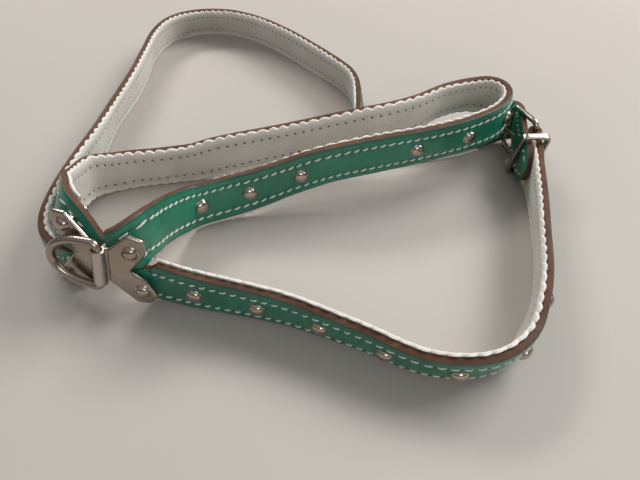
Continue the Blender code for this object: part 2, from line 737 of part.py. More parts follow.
def neck_studs(band, strap):
    near_run = np.arange(band.length * 0.55, band.length - 10.0, 0.25)
    for i, x in enumerate(NECK_STUDS):
        length = min(near_run, key=lambda v: abs(band.at(v)[0][0] - x))
        stud(f"neck_stud_{i + 1}", band, length, strap)


def girth_studs(band, strap):
    for i in range(BUCKLE_STUDS):
        stud(f"girth_stud_{i + 1}", band, BUCKLE_STUD_FIRST + BUCKLE_STUD_PITCH * i, strap)


# -- final frame --
def centre_pieces():
    """Moves everything to the origin and gives each moving piece its own pivot."""
    for obj in PIECES.objects:
        obj.data.transform(Matrix.Translation(ORIGIN * -MM))
    pivots = {
        "d_ring": BARREL_AT,
        "buckle_frame": (*BAR_AT, STRAP_MID),
        "buckle_prong": (*BAR_AT, PRONG_Z),
        "buckle_keeper": KEEPER_AT,
    }
    for name, at in pivots.items():
        obj = bpy.data.objects[name]
        pivot = (Vector(at) - ORIGIN) * MM
        obj.data.transform(Matrix.Translation(-pivot))
        obj.location = pivot


def build():
    neck = Band(NECK, LEFT_SIDE)
    tongue = Band(TONGUE, LEFT_SIDE)
    buckle = Band(BUCKLE, RIGHT_SIDE)
    neck_leather = neck_strap(neck)
    tongue_strap(tongue)
    buckle_leather = buckle_strap(buckle)
    ends = strap_ends(neck, tongue, buckle)

    junction_plate()
    bands = {
        "right_upper": neck, "right_lower": buckle,
        "left_upper": neck, "left_lower": tongue,
    }
    for key, out, face, along_leaf, height in RIVETS:
        plate_rivet(key, rivet_at(out, along_leaf, height), face, ends[key], bands[key])

    d_ring()
    buckle_frame()
    buckle_prong()
    buckle_keeper()
    neck_studs(neck, neck_leather)
    girth_studs(buckle, buckle_leather)
    centre_pieces()


build()
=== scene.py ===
"""Two-loop harness of studded green leather, lined in cream, with nickel fittings.

It rests on the floor (+Z up), its straps mostly on edge. Both loops start at a two-winged
junction plate at -X -Y, which carries a D-ring. The neck loop is the smaller one; the girth loop
is a tongue strap round the back (+Y) and a buckle strap along the front (-Y), meeting in a
buckle at +X. Sizes are millimetres until the meshes are made, in metres.
"""

import math

import bmesh
import bpy
import numpy as np
from mathutils import Matrix, Vector


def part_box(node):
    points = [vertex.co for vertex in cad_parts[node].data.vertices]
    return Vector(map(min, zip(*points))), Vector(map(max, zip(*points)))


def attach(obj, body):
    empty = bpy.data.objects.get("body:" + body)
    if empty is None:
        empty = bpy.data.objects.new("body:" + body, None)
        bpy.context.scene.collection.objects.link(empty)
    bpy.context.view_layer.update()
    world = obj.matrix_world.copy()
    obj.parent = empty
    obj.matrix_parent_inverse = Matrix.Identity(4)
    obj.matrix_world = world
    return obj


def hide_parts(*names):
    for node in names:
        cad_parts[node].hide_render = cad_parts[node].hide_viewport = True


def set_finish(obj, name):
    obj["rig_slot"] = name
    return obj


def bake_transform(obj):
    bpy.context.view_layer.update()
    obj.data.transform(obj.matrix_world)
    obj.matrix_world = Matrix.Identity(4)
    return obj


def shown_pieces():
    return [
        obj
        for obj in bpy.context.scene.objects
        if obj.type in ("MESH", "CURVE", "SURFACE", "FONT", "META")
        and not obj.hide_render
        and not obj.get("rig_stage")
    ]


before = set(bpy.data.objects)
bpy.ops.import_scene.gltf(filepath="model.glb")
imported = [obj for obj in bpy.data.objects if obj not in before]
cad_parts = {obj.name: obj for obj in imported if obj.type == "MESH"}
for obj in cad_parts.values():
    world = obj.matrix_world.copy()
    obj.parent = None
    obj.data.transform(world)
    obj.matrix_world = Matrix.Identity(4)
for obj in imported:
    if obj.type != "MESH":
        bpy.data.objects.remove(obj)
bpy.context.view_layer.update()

MM = 0.001
SHIFT = np.array([1.252, 0.640, 0.004])  # from the places below to the CAD frame
SHIFT_VECTOR = Vector(SHIFT)

# Strap section: offsets run outwards from the middle of the stack
LEATHER_W, LEATHER_T = 18.0, 3.0
HALF_W = LEATHER_W / 2
LINING_W, LINING_T = 20.0, 1.0
STACK_T = 4.3
OUTER = STACK_T / 2
INNER = OUTER - LEATHER_T
LINING_INNER = -STACK_T / 2
LINING_OUTER = LINING_INNER + LINING_T + 0.16
CROWN = 0.5  # fall of the outer face at its edges
STITCH_ROW = 5.4  # from the middle of the strap
STITCH_PITCH = 3.6
SCALLOP = 4.4  # pitch of the lining's teeth
TIP_EXTRA = 3.5  # the tip runs this far past the last tongue station
TIP_ROUND = 8.0  # length of the rounded tip
TAIL = 48.0  # last stretch of the tongue, with its slot

# Strap stations: x, y, z, roll in degrees (turns the outer face upwards)
NECK = [
    (-74.5, -82, 23.1, 28), (-82.3, -74.4, 29.7, 30), (-87.7, -64.8, 25.2, 26),
    (-92.5, -53.6, 18.6, 14), (-93.4, -43, 14.2, 7), (-91.2, -34.5, 12.4, 3),
    (-83.5, -28.8, 10.2, 4), (-62.6, -24.4, 10.2, 8), (-49.3, -22, 10.5, 6),
    (-39.1, -21.2, 12.9, 2), (-9.3, -16.5, 17.1, 8), (18.7, -12.5, 21.2, 6),
    (30, -10.5, 22, 2), (43.6, -4, 21.9, 4), (57.3, 6.6, 22.2, 14),
    (70.8, 13, 21.9, 18), (79.2, 13.3, 21.9, 13), (84.4, 8.5, 22, 6),
    (85.2, 0.3, 22.1, 3), (79, -9.5, 22, 0), (65.1, -18.5, 22.2, -6),
    (48.8, -25.2, 22.1, -7), (24.3, -32.8, 22, -4), (5.3, -37.9, 21, -4),
    (-7.2, -40.2, 17.9, -2), (-22, -44.4, 14.6, 3), (-34.7, -47.3, 12.2, 8),
    (-44.8, -52, 12.4, 7), (-50.2, -60.2, 16, 4), (-53.2, -69.4, 20.4, 1),
    (-54.2, -76.5, 24, 1), (-55.8, -82.3, 27, 4), (-58.9, -85.1, 25.6, 9),
    (-66.5, -86.1, 20.4, 11),
]
TONGUE = [
    (-74.7, -83.3, 15.5, 12), (-83.3, -82, 10.8, 7), (-93.3, -73.8, 10.2, 1),
    (-97.5, -64, 10.2, 0), (-99, -50, 10.2, 2), (-98.4, -30.7, 10.2, 6),
    (-96.8, -9.5, 10.2, 13), (-95.8, 17.5, 10, 20), (-93.4, 39.8, 10.2, 16),
    (-92.8, 61.7, 10.2, 15), (-92.6, 86.1, 10.2, 19), (-88.5, 101.4, 10.1, 22),
    (-80.5, 112.4, 9.8, 28), (-69, 117.5, 9.5, 30), (-51.2, 115, 10, 25),
    (-33.9, 105.1, 10.1, 19), (-14.6, 86.6, 10.2, 13), (-0.1, 69.4, 10.2, 12),
    (13.5, 52.5, 10.2, 15), (19.5, 41.6, 10.2, 11), (21.8, 31, 10.2, 8),
    (23, 16, 9.5, 16), (27, 4, 6, 55), (36, -1.5, 2.15, 90),
    (46, -1, 2.15, 90), (56, 1, 2.15, 90), (67, 4.5, 2.15, 90), (72.5, 6.8, 2.15, 90),
    (79, 9.5, 3.2, 102), (88, 11.5, 7, 132), (94, 8.6, 11, 178),
    (95.2, 3, 11.9, 184), (93.1, -4, 11.9, 180), (91.8, -11, 11.9, 180),
    (90.7, -18, 11.9, 180), (90, -28.5, 11.7, 180),
]
BUCKLE = [
    (-64.1, -86.6, 14, 10), (-54.5, -86.9, 10.4, 3), (-39.9, -91.4, 10.2, -2),
    (-20, -96.5, 10.2, -7), (-7.3, -100.2, 10.2, -9), (15.4, -110, 10.2, -14),
    (36.5, -119.7, 10.2, -17), (53.5, -119.8, 10.2, -15), (65.5, -112.8, 10, -10),
    (73.6, -101, 10.2, -2), (79.2, -89.5, 10.2, 5), (84.2, -72.7, 10.2, 9),
    (89.3, -50.9, 10.2, 7), (92.8, -32, 10.6, 4), (93.6, -27, 11.2, 2),
    (94, -22.5, 11.7, 0), (94.25, -19.5, 11.9, 0),
]
NEAR = 17.0  # the pieces by the plate run this far past a split

# Junction plate: outlines and rivets as (distance along the wing, height)
PLATE_AT = Vector((-68.0, -89.0, 19.0))
PLATE_T = 1.6
LEFT_TURN = -20.0  # degrees the left wing turns back about the plate's upright
RIGHT_HALF = [
    (-1.2, 8.8), (2.2, 9.0), (8.4, 15.3), (13.6, 13.7), (13.9, 8.0), (8.7, 0.5),
    (14.2, -3.6), (17.7, -9.6), (15.2, -12.9), (10.6, -13.0), (2.2, -4.9), (-1.2, -4.4),
]
LEFT_HALF = [
    (-1.0, 8.8), (2.2, 9.0), (5.1, 11.9), (12.2, 18.2), (17.0, 17.8), (18.1, 13.6),
    (15.0, 7.4), (10.4, 2.8), (14.2, -2.8), (17.4, -7.2), (15.2, -12.2), (10.4, -12.6),
    (2.2, -4.9), (-1.0, -4.4),
]
RIGHT_RIVETS = [(9.2, 8.4), (12.6, -7.4)]
LEFT_RIVETS = [(13.2, 13.3), (13.6, -7.2)]
BARREL_HALF, BARREL_LIFT, BARREL_R, BARREL_OUT, BORE_R = 7.0, 2.5, 2.3, 1.8, 1.5
BARREL_LIP = 0.25
RING_WIRE_R, RING_TOP, RING_BOTTOM, RING_REACH, RING_TILT = 1.4, 11.6, -6.5, 16.9, 9.0
RING_CORNER = 1.8

# Buckle frame, prong and keeper
BAR_AT, RIM_AT = (96.0, -12.0), (90.2, 2.5)
FRAME_WIRE_R, FRAME_LOW, FRAME_HIGH, FRAME_CORNER = 1.2, 1.4, 22.4, 2.4
STRAP_MID, PRONG_Z, PRONG_R = 11.9, 10.6, 0.9
PRONG_PATH = [(94.3, -10.7), (93.2, -8.6), (90.4, -1.8), (88.2, 2.2), (87.9, 3.8)]
KEEPER_AT, KEEPER_IN, KEEPER_LEAN = (92.6, -19.6, 12.0), (9.2, 21.0), 13.0
KEEPER_T, KEEPER_W, KEEPER_CORNER = 1.5, 3.0, 1.4

# Folded end of the buckle strap: x, y, thickness, width; then its turn round the buckle bar
FOLD_RUN_IN = [(95.0, -17.6, 2.8, 17.6), (96.4, -15.4, 2.3, 17.0), (97.9, -13.7, 1.8, 16.2)]
FOLD_R, FOLD_T, FOLD_W = 2.3, 1.6, 15.6
FOLD_FLAP = [
    (BAR_AT[0] - 2.35, BAR_AT[1] - 1.4, 1.5, FOLD_W),
    (BAR_AT[0] - 2.2, BAR_AT[1] - 2.7, 1.3, FOLD_W),
]

NECK_STUDS = [-43.9, -24.9, -5.0, 41.5, 63.9, 82.5]  # x of each
GIRTH_STUDS = [27.0 + 22.1 * i for i in range(7)]  # distances along the buckle strap

# Turned profiles: radius, height
RIVET_HEAD = [(2.75, 0.0), (2.8, 0.18), (2.62, 0.3), (2.42, 0.36), (2.3, 0.5)] + [
    (2.25 * math.cos(a), 0.5 + 0.95 * math.sin(a)) for a in np.radians([12, 28, 44, 60, 74, 85])
]
RIVET_CAP = [(2.3, -0.5), (2.38, -0.3), (2.3, 0.1), (1.9, 0.4), (1.2, 0.5)]
SHANK_R = 1.2
STUD_DOME = [(3.0, 0.0), (3.05, 0.16), (2.96, 0.3), (2.86, 0.36)] + [
    (2.84 * math.cos(a), 0.36 + 1.62 * math.sin(a))
    for a in np.radians([8, 20, 32, 44, 56, 68, 78, 86])
]
RNG = np.random.default_rng(7)


# ---------------------------------------------------------------- materials
class Shader:
    """Short names for building a node tree."""

    def __init__(self, name):
        self.mat = bpy.data.materials.new(name)
        self.mat.use_nodes = True
        self.tree = self.mat.node_tree
        self.bsdf = self.tree.nodes["Principled BSDF"]

    def node(self, kind, **values):
        made = self.tree.nodes.new(kind)
        for key, value in values.items():
            setattr(made, key, value)
        return made

    def put(self, socket, value):
        if isinstance(value, bpy.types.NodeSocket):
            self.tree.links.new(value, socket)
        elif value is not None:
            socket.default_value = value

    def math(self, operation, first, second=None):
        made = self.node("ShaderNodeMath", operation=operation)
        self.put(made.inputs[0], first)
        self.put(made.inputs[1], second)
        return made.outputs[0]

    def add(self, first, second):
        return self.math("ADD", first, second)

    def times(self, first, second):
        return self.math("MULTIPLY", first, second)

    def size(self, value):
        return self.math("ABSOLUTE", value)

    def layers(self, operation, *weighted):
        """Weighted values, added or subtracted in turn."""
        terms = [self.times(value, weight) for value, weight in weighted]
        total = terms[0]
        for term in terms[1:]:
            total = self.math(operation, total, term)
        return total

    def mix(self, factor, first, second, amount=None):
        """From the first colour to the second; amount scales the factor."""
        if amount is not None:
            factor = self.times(factor, amount)
        made = self.node("ShaderNodeMix", data_type="RGBA", blend_type="MIX")
        self.put(made.inputs["Factor"], factor)
        self.put(made.inputs[6], first)
        self.put(made.inputs[7], second)
        return made.outputs[2]

    def span(self, value, between, to=(0.0, 1.0), smooth=False):
        """Maps the range between to the range to."""
        kind = "SMOOTHSTEP" if smooth else "LINEAR"
        made = self.node("ShaderNodeMapRange", interpolation_type=kind)
        for socket, item in zip(made.inputs[:5], (value, *between, *to)):
            self.put(socket, item)
        return made.outputs[0]

    def noise(self, vector, scale, detail=4.0, rough=0.55):
        made = self.node("ShaderNodeTexNoise")
        self.put(made.inputs["Vector"], vector)
        made.inputs["Scale"].default_value = scale
        made.inputs["Detail"].default_value = detail
        made.inputs["Roughness"].default_value = rough
        return made.outputs[0]

    def cells(self, vector, scale, feature):
        made = self.node("ShaderNodeTexVoronoi", feature=feature)
        self.put(made.inputs["Vector"], vector)
        made.inputs["Scale"].default_value = scale
        return made.outputs[0]

    def strap_uv(self):
        """Distance along and across the strap in millimetres, and both as one vector."""
        both = self.node("ShaderNodeUVMap", uv_map="band").outputs[0]
        split = self.node("ShaderNodeSeparateXYZ")
        self.put(split.inputs[0], both)
        return split.outputs[0], split.outputs[1], both

    def position(self):
        return self.node("ShaderNodeTexCoord").outputs["Object"]

    def scaled(self, vector, factors):
        made = self.node("ShaderNodeVectorMath", operation="MULTIPLY")
        self.put(made.inputs[0], vector)
        made.inputs[1].default_value = factors
        return made.outputs[0]

    def bump(self, height, strength, distance):
        made = self.node("ShaderNodeBump")
        made.inputs["Strength"].default_value = strength
        made.inputs["Distance"].default_value = distance
        self.put(made.inputs["Height"], height)
        return made.outputs[0]

    def set(self, **values):
        """Fills the surface's inputs and returns the material."""
        for key, value in values.items():
            self.put(self.bsdf.inputs[key.replace("_", " ")], value)
        return self.mat

    def stitch_dots(self, along, across, radius, soft):
        """1 in dots at every stitch pitch on both rows, fading to 0 over soft."""
        shifted = self.add(along, STITCH_PITCH * 100.0)  # keeps the distance positive
        x = self.math("PINGPONG", shifted, STITCH_PITCH / 2)
        y = self.math("SUBTRACT", self.size(across), STITCH_ROW)
        distance = self.math("SQRT", self.add(self.times(x, x), self.times(y, y)))
        return self.span(distance, between=(radius, radius + soft), to=(1.0, 0.0), smooth=True)


def rgb(red, green, blue):
    return (red, green, blue, 1.0)


def leather_material():
    mat = Shader("green_leather_looks")
    along, across, strap = mat.strap_uv()
    place = mat.position()
    # clouded and mottled green, dark along the edges
    cloud = mat.noise(place, scale=38.0, detail=5.0, rough=0.6)
    mottle = mat.noise(place, scale=260.0, detail=4.0, rough=0.6)
    clouded = mat.span(cloud, between=(0.3, 0.72))
    base = mat.mix(clouded, rgb(0.004, 0.14, 0.078), rgb(0.011, 0.255, 0.152))
    mottled = mat.span(mottle, between=(0.35, 0.75), to=(0.0, 0.45))
    base = mat.mix(mottled, base, rgb(0.003, 0.085, 0.048))
    rim = mat.span(mat.size(across), between=(7.4, 9.1), to=(0.0, 0.75), smooth=True)
    base = mat.mix(rim, base, rgb(0.004, 0.045, 0.03))
    # paler rubbed patches, stronger towards the middle
    patches = mat.noise(place, scale=90.0, detail=6.0, rough=0.7)
    rub = mat.times(
        mat.span(patches, between=(0.6, 0.78)),
        mat.span(mat.size(across), between=(3.0, 7.5), to=(0.35, 0.1)),
    )
    base = mat.mix(rub, base, rgb(0.03, 0.38, 0.24))
    # darker round the stitches
    pull = mat.stitch_dots(along, across, radius=0.9, soft=1.3)
    base = mat.mix(pull, base, rgb(0.004, 0.05, 0.032), amount=0.35)
    # relief, each layer with its weight
    grain = mat.cells(place, scale=1500.0, feature="DISTANCE_TO_EDGE")
    pebble = mat.cells(place, scale=820.0, feature="F1")
    fold = mat.noise(mat.scaled(strap, (0.55, 0.16, 1.0)), scale=1.0, detail=5.0, rough=0.6)
    creases = mat.span(grain, between=(0.0, 0.25))
    height = mat.layers("ADD", (creases, 0.5), (pebble, -0.35), (fold, 0.9))
    # rubbed places are smoother
    rough = mat.add(mat.span(mottle, between=(0.3, 0.7), to=(0.30, 0.46)), mat.times(rub, -0.1))
    return mat.set(
        Base_Color=base, Roughness=rough,
        Normal=mat.bump(height, strength=0.34, distance=0.00016),
        Specular_IOR_Level=0.55, Coat_Weight=0.38, Coat_Roughness=0.3,
        Sheen_Weight=0.03, Sheen_Roughness=0.4, Sheen_Tint=rgb(0.5, 0.9, 0.75),
    )


def raw_edge_material():
    mat = Shader("raw_leather_edge")
    place = mat.position()
    fibre = mat.noise(mat.scaled(place, (1.0, 1.0, 3.2)), scale=900.0, detail=6.0, rough=0.7)
    patch = mat.span(mat.noise(place, scale=120.0, detail=4.0, rough=0.6), between=(0.3, 0.75))
    base = mat.mix(patch, rgb(0.075, 0.032, 0.016), rgb(0.175, 0.078, 0.039))
    dark_fibre = mat.span(fibre, between=(0.4, 0.75), to=(0.0, 0.6))
    base = mat.mix(dark_fibre, base, rgb(0.05, 0.018, 0.01))
    burnish = mat.span(mat.noise(place, scale=55.0, detail=3.0), between=(0.5, 0.7))
    base = mat.mix(burnish, base, rgb(0.045, 0.022, 0.014), amount=0.5)
    return mat.set(
        Base_Color=base, Roughness=mat.span(burnish, between=(0, 1), to=(0.72, 0.5)),
        Normal=mat.bump(fibre, strength=0.5, distance=0.00018), Specular_IOR_Level=0.3,
    )


def suede_material():
    mat = Shader("leather_flesh_side")
    place = mat.position()
    fuzz = mat.noise(place, scale=1400.0, detail=5.0, rough=0.7)
    cloud = mat.noise(place, scale=90.0, detail=3.0)
    base = mat.mix(cloud, rgb(0.16, 0.085, 0.05), rgb(0.27, 0.16, 0.1))
    return mat.set(
        Base_Color=mat.mix(fuzz, base, rgb(0.1, 0.05, 0.03), amount=0.4), Roughness=0.9,
        Normal=mat.bump(fuzz, strength=0.4, distance=0.0002), Sheen_Weight=0.2,
    )


def lining_material():
    mat = Shader("cream_lining_looks")
    along, across, strap = mat.strap_uv()
    place = mat.position()
    # diagonal weave of dark pores, fading towards the edges
    wave = math.pi / 1.15  # 1.15 mm weave pitch
    rising = mat.math("SINE", mat.times(mat.add(along, across), wave))
    falling = mat.math("SINE", mat.times(mat.math("SUBTRACT", along, across), wave))
    weave = mat.size(mat.times(rising, falling))
    pore = mat.span(weave, between=(0.35, 0.95), smooth=True)
    inside = mat.span(mat.size(across), between=(7.6, 8.6), to=(1.0, 0.15), smooth=True)
    pore = mat.times(pore, inside)
    cloud = mat.span(mat.noise(place, scale=60.0, detail=4.0, rough=0.6), between=(0.3, 0.7))
    base = mat.mix(cloud, rgb(0.62, 0.59, 0.53), rgb(0.77, 0.74, 0.68))
    base = mat.mix(pore, base, rgb(0.17, 0.145, 0.12), amount=0.75)
    # plain fluffy edges, faint smudges, stitch holes
    fluff = mat.span(mat.size(across), between=(6.6, 8.4), to=(0.0, 0.92), smooth=True)
    base = mat.mix(fluff, base, rgb(0.76, 0.735, 0.68))
    smudge = mat.span(mat.noise(place, scale=22.0, detail=5.0, rough=0.65), between=(0.56, 0.75))
    base = mat.mix(smudge, base, rgb(0.42, 0.35, 0.27), amount=0.22)
    hole = mat.stitch_dots(along, across, radius=0.38, soft=0.25)
    base = mat.mix(hole, base, rgb(0.03, 0.024, 0.02), amount=0.92)
    # relief, each layer with its weight
    dimple = mat.stitch_dots(along, across, radius=0.5, soft=1.1)
    thread = mat.noise(mat.scaled(strap, (1.0, 1.0, 1.0)), scale=6.5, detail=3.0, rough=0.6)
    height = mat.layers("SUBTRACT", (thread, 0.35), (pore, 0.7), (dimple, 1.1))
    return mat.set(
        Base_Color=base, Roughness=0.88,
        Normal=mat.bump(height, strength=0.7, distance=0.00022),
        Sheen_Weight=0.35, Sheen_Roughness=0.5, Specular_IOR_Level=0.25,
    )


def thread_material():
    mat = Shader("waxed_thread")
    along, across, _ = mat.strap_uv()
    # weights along and across slant the twist; 7.5 radians a millimetre
    slant = mat.layers("ADD", (along, 1.0), (across, 1.6))
    twist = mat.math("SINE", mat.times(slant, 7.5))
    cloud = mat.span(mat.noise(mat.position(), scale=300.0, detail=3.0), between=(0.35, 0.7))
    base = mat.mix(cloud, rgb(0.62, 0.70, 0.62), rgb(0.80, 0.84, 0.77))
    # painted shade: the twist's grooves are darkened where shade falls between the plies
    groove = mat.span(twist, between=(-1.0, -0.4), to=(0.35, 0.0))
    base = mat.mix(groove, base, rgb(0.28, 0.36, 0.3))
    return mat.set(
        Base_Color=base, Roughness=0.62,
        Normal=mat.bump(twist, strength=0.5, distance=0.00008), Sheen_Weight=0.2,
    )


def nickel_material(name, tone, rough):
    """Worn metal whose darkened, brownish base colours are a painted reflection of a dark brown
    room; tone scales the base colours, rough is the roughness range.
    """
    mat = Shader(name)
    place = mat.position()
    cloud = mat.noise(place, scale=45.0, detail=4.0, rough=0.6)
    fine = mat.noise(place, scale=900.0, detail=4.0, rough=0.7)
    # painted reflection: the dark brownish base colours stand in for the dark brown room that the
    # nickel reflects
    base = mat.mix(
        mat.span(cloud, between=(0.3, 0.7)),
        rgb(0.31 * tone, 0.255 * tone, 0.21 * tone),
        rgb(0.44 * tone, 0.375 * tone, 0.32 * tone),
    )
    spot = mat.span(mat.noise(place, scale=210.0, detail=5.0, rough=0.75), between=(0.62, 0.72))
    base = mat.mix(spot, base, rgb(0.2, 0.15, 0.12), amount=0.22)
    streaks = mat.scaled(place, (1.0, 0.12, 1.0))
    scratch = mat.noise(streaks, scale=2600.0, detail=2.0, rough=0.5)
    scratch = mat.span(scratch, between=(0.66, 0.7))
    edge = mat.node("ShaderNodeNewGeometry").outputs["Pointiness"]
    worn = mat.span(edge, between=(0.52, 0.6))
    base = mat.mix(worn, base, rgb(0.82, 0.78, 0.72), amount=0.55)
    # the spots are rougher
    roughness = mat.add(mat.span(fine, between=(0.3, 0.7), to=rough), mat.times(spot, 0.2))
    height = mat.layers("ADD", (fine, 0.3), (scratch, -0.25), (cloud, 0.8))
    return mat.set(
        Base_Color=base, Metallic=1.0, Roughness=roughness,
        Normal=mat.bump(height, strength=0.09, distance=0.00012),
    )


def floor_material():
    mat = Shader("pale_floor")
    place = mat.position()
    soft = mat.span(mat.noise(place, scale=2.0, detail=3.0, rough=0.5), between=(0.3, 0.7))
    fine = mat.noise(place, scale=300.0, detail=4.0, rough=0.6)
    return mat.set(
        Base_Color=mat.mix(soft, rgb(0.43, 0.395, 0.36), rgb(0.49, 0.455, 0.42)), Roughness=0.72,
        Normal=mat.bump(fine, strength=0.08, distance=0.0003), Specular_IOR_Level=0.3,
    )


GREEN = leather_material()
EDGE = raw_edge_material()
SUEDE = suede_material()
CREAM = lining_material()
THREAD = thread_material()
NICKEL = nickel_material("worn_nickel_painted_reflection", tone=1.0, rough=(0.16, 0.32))
STUD = nickel_material("stud_nickel_painted_reflection", tone=1.25, rough=(0.12, 0.24))
FACE_SLOT, EDGE_SLOT, BACK_SLOT = 0, 1, 2  # slots of a leather piece


# ---------------------------------------------------------------- mesh help
def link(name, mesh):
    obj = bpy.data.objects.new(name, mesh)
    bpy.context.scene.collection.objects.link(obj)
    return obj


def make_object(name, verts, faces, mats, uvs=None, slots=None):
    """A smooth-shaded object from points in millimetres."""
    mesh = bpy.data.meshes.new(name)
    mesh.from_pydata([tuple(v * MM) for v in verts], [], faces)
    if uvs is not None:
        layer = mesh.uv_layers.new(name="band")
        loops = np.empty(len(mesh.loops), np.int32)
        mesh.loops.foreach_get("vertex_index", loops)
        layer.data.foreach_set("uv", np.asarray(uvs, np.float32)[loops].reshape(-1))
    for mat in mats:
        mesh.materials.append(mat)
    if slots is not None:
        mesh.polygons.foreach_set("material_index", np.asarray(slots, np.int32))
    mesh.shade_smooth()
    mesh.set_sharp_from_angle(angle=math.radians(38))
    mesh.update()
    obj = link(name, mesh)
    bm = bmesh.new()
    bm.from_mesh(mesh)
    bm.normal_update()
    bmesh.ops.recalc_face_normals(bm, faces=bm.faces)
    bm.to_mesh(mesh)
    bm.free()
    return obj


def ring_faces(rings, sides, start=0, closed=False, caps=(True, True)):
    """Faces joining rings of points in turn, with optional end caps."""
    faces = []
    for i in range(rings if closed else rings - 1):
        here, there = start + i * sides, start + (i + 1) % rings * sides
        for k in range(sides):
            j = (k + 1) % sides
            faces.append((here + k, here + j, there + j, there + k))
    if caps[0]:
        faces.append(tuple(range(start, start + sides))[::-1])
    if caps[1]:
        last = start + (rings - 1) * sides
        faces.append(tuple(range(last, last + sides)))
    return faces


def ride(obj, body, *nodes):
    """Fixes the object to a body, in place of the named CAD nodes."""
    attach(obj, body)
    if nodes:
        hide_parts(*nodes)


def cut_away(obj, at, normal):
    """Removes what lies on normal's side of the plane and closes the cut."""
    bm = bmesh.new()
    bm.from_mesh(obj.data)
    cut = bmesh.ops.bisect_plane(
        bm, geom=bm.verts[:] + bm.edges[:] + bm.faces[:],
        plane_co=at * MM, plane_no=normal, clear_outer=True,
    )
    rim = [e for e in cut["geom_cut"] if isinstance(e, bmesh.types.BMEdge)]
    if rim:
        for face in bmesh.ops.holes_fill(bm, edges=rim)["faces"]:
            face.material_index = EDGE_SLOT
    bm.to_mesh(obj.data)
    bm.free()


def cut_slot(obj, centre, size):
    """Cuts a box-shaped slot through a strap end."""
    bm = bmesh.new()
    bmesh.ops.create_cube(bm, size=1.0)
    move = Matrix.Translation(Vector(np.array(centre) + SHIFT) * MM)
    bm.transform(move @ Matrix.Diagonal((size[0] * MM, size[1] * MM, size[2] * MM, 1.0)))
    mesh = bpy.data.meshes.new("cutter")
    bm.to_mesh(mesh)
    bm.free()
    cutter = link("cutter", mesh)
    mod = obj.modifiers.new("slot", "BOOLEAN")
    mod.solver = "EXACT"
    mod.operation = "DIFFERENCE"
    mod.object = cutter
    graph = bpy.context.evaluated_depsgraph_get()
    graph.update()
    mesh = bpy.data.meshes.new_from_object(obj.evaluated_get(graph))
    obj.modifiers.clear()
    obj.data = mesh
    bpy.data.objects.remove(cutter, do_unlink=True)


def join(name, parts):
    """Joins meshes by copying their data, keeping their materials."""
    bm = bmesh.new()
    mats = []
    for part in parts:
        start = len(bm.faces)
        bm.from_mesh(part.data)
        bm.faces.ensure_lookup_table()
        for mat in part.data.materials:
            if mat not in mats:
                mats.append(mat)
        for face in bm.faces[start:]:
            face.material_index = mats.index(part.data.materials[face.material_index])
    mesh = bpy.data.meshes.new(name)
    bm.to_mesh(mesh)
    bm.free()
    for mat in mats:
        mesh.materials.append(mat)
    for part in parts:
        bpy.data.objects.remove(part, do_unlink=True)
    return link(name, mesh)


# ---------------------------------------------------------------- strap paths
def knot_mix(at, low, high, first, second):
    return (high - at) / (high - low) * first + (at - low) / (high - low) * second


def spline(stations, step=0.5):
    """Points of a centripetal Catmull-Rom curve through the stations."""
    points = np.array(stations, float)
    points = np.vstack([2 * points[0] - points[1], points, 2 * points[-1] - points[-2]])
    curve = []
    for i in range(1, len(points) - 2):
        four = points[i - 1:i + 3]
        knots = [0.0]
        for a, b in zip(four, four[1:]):
            knots.append(knots[-1] + max(np.linalg.norm((b - a)[:3]) ** 0.5, 1e-6))
        count = max(4, int(np.linalg.norm((four[2] - four[1])[:3]) / step))
        for k in range(count):
            at = knots[1] + (knots[2] - knots[1]) * k / count
            three = [knot_mix(at, *knots[j:j + 2], *four[j:j + 2]) for j in range(3)]
            two = [knot_mix(at, knots[j], knots[j + 2], *three[j:j + 2]) for j in range(2)]
            curve.append(knot_mix(at, *knots[1:3], *two))
    curve.append(points[-2])
    return np.array(curve)


class Band:
    """A strap's middle line with its directions ahead, across (upwards) and out of the loop.

    side is +1 where the outside lies to the right of the way ahead, -1 where to the left.
    """

    def __init__(self, stations, side):
        points = spline(stations)
        steps = np.linalg.norm(np.diff(points[:, :3], axis=0), axis=1)
        arc = np.concatenate([[0], np.cumsum(steps)])
        self.length = float(arc[-1])
        self.dists = np.linspace(0, self.length, int(self.length) + 1)
        place = np.stack([np.interp(self.dists, arc, points[:, j]) for j in range(3)], 1)
        roll = np.radians(np.interp(self.dists, arc, points[:, 3]))
        for _ in range(3):
            place[1:-1] = (place[:-2] + 2 * place[1:-1] + place[2:]) / 4
        ahead = np.gradient(place, axis=0)
        ahead /= np.linalg.norm(ahead, axis=1)[:, None]
        right = np.cross(ahead, [0.0, 0.0, 1.0])
        right /= np.linalg.norm(right, axis=1)[:, None]
        upright = np.cross(right, ahead)
        level = side * right
        cos, sin = np.cos(roll)[:, None], np.sin(roll)[:, None]
        out = cos * level + sin * upright
        across = cos * upright - sin * level
        # lift the strap where a corner of its section would go below the floor
        low = np.minimum.reduce([
            sign * across[:, 2] * half + out[:, 2] * offset
            for sign in (-1, 1)
            for half, offset in (
                (LINING_W / 2, LINING_INNER), (LINING_W / 2, LINING_T - STACK_T / 2),
                (HALF_W, OUTER), (HALF_W, INNER),
            )
        ])
        place[:, 2] = np.maximum(place[:, 2], -low)
        self.lines = (place + SHIFT, ahead, across, out)

    def at(self, dist):
        """Place, ahead, across and out at a distance, running straight on past the ends."""
        place, *axes = [
            np.array([np.interp(dist, self.dists, line[:, j]) for j in range(3)])
            for line in self.lines
        ]
        ahead, across, out = [axis / np.linalg.norm(axis) for axis in axes]
        place = place + ahead * (min(0.0, dist) + max(0.0, dist - self.length))
        return place, ahead, across, out


neck, tongue, buckle = Band(NECK, -1.0), Band(TONGUE, -1.0), Band(BUCKLE, 1.0)
# Distances at which each strap splits into a near piece and a long one
NECK_LEFT, NECK_RIGHT = 12.0, neck.length - 24.0
TONGUE_SPLIT, BUCKLE_SPLIT = 11.5, 13.5

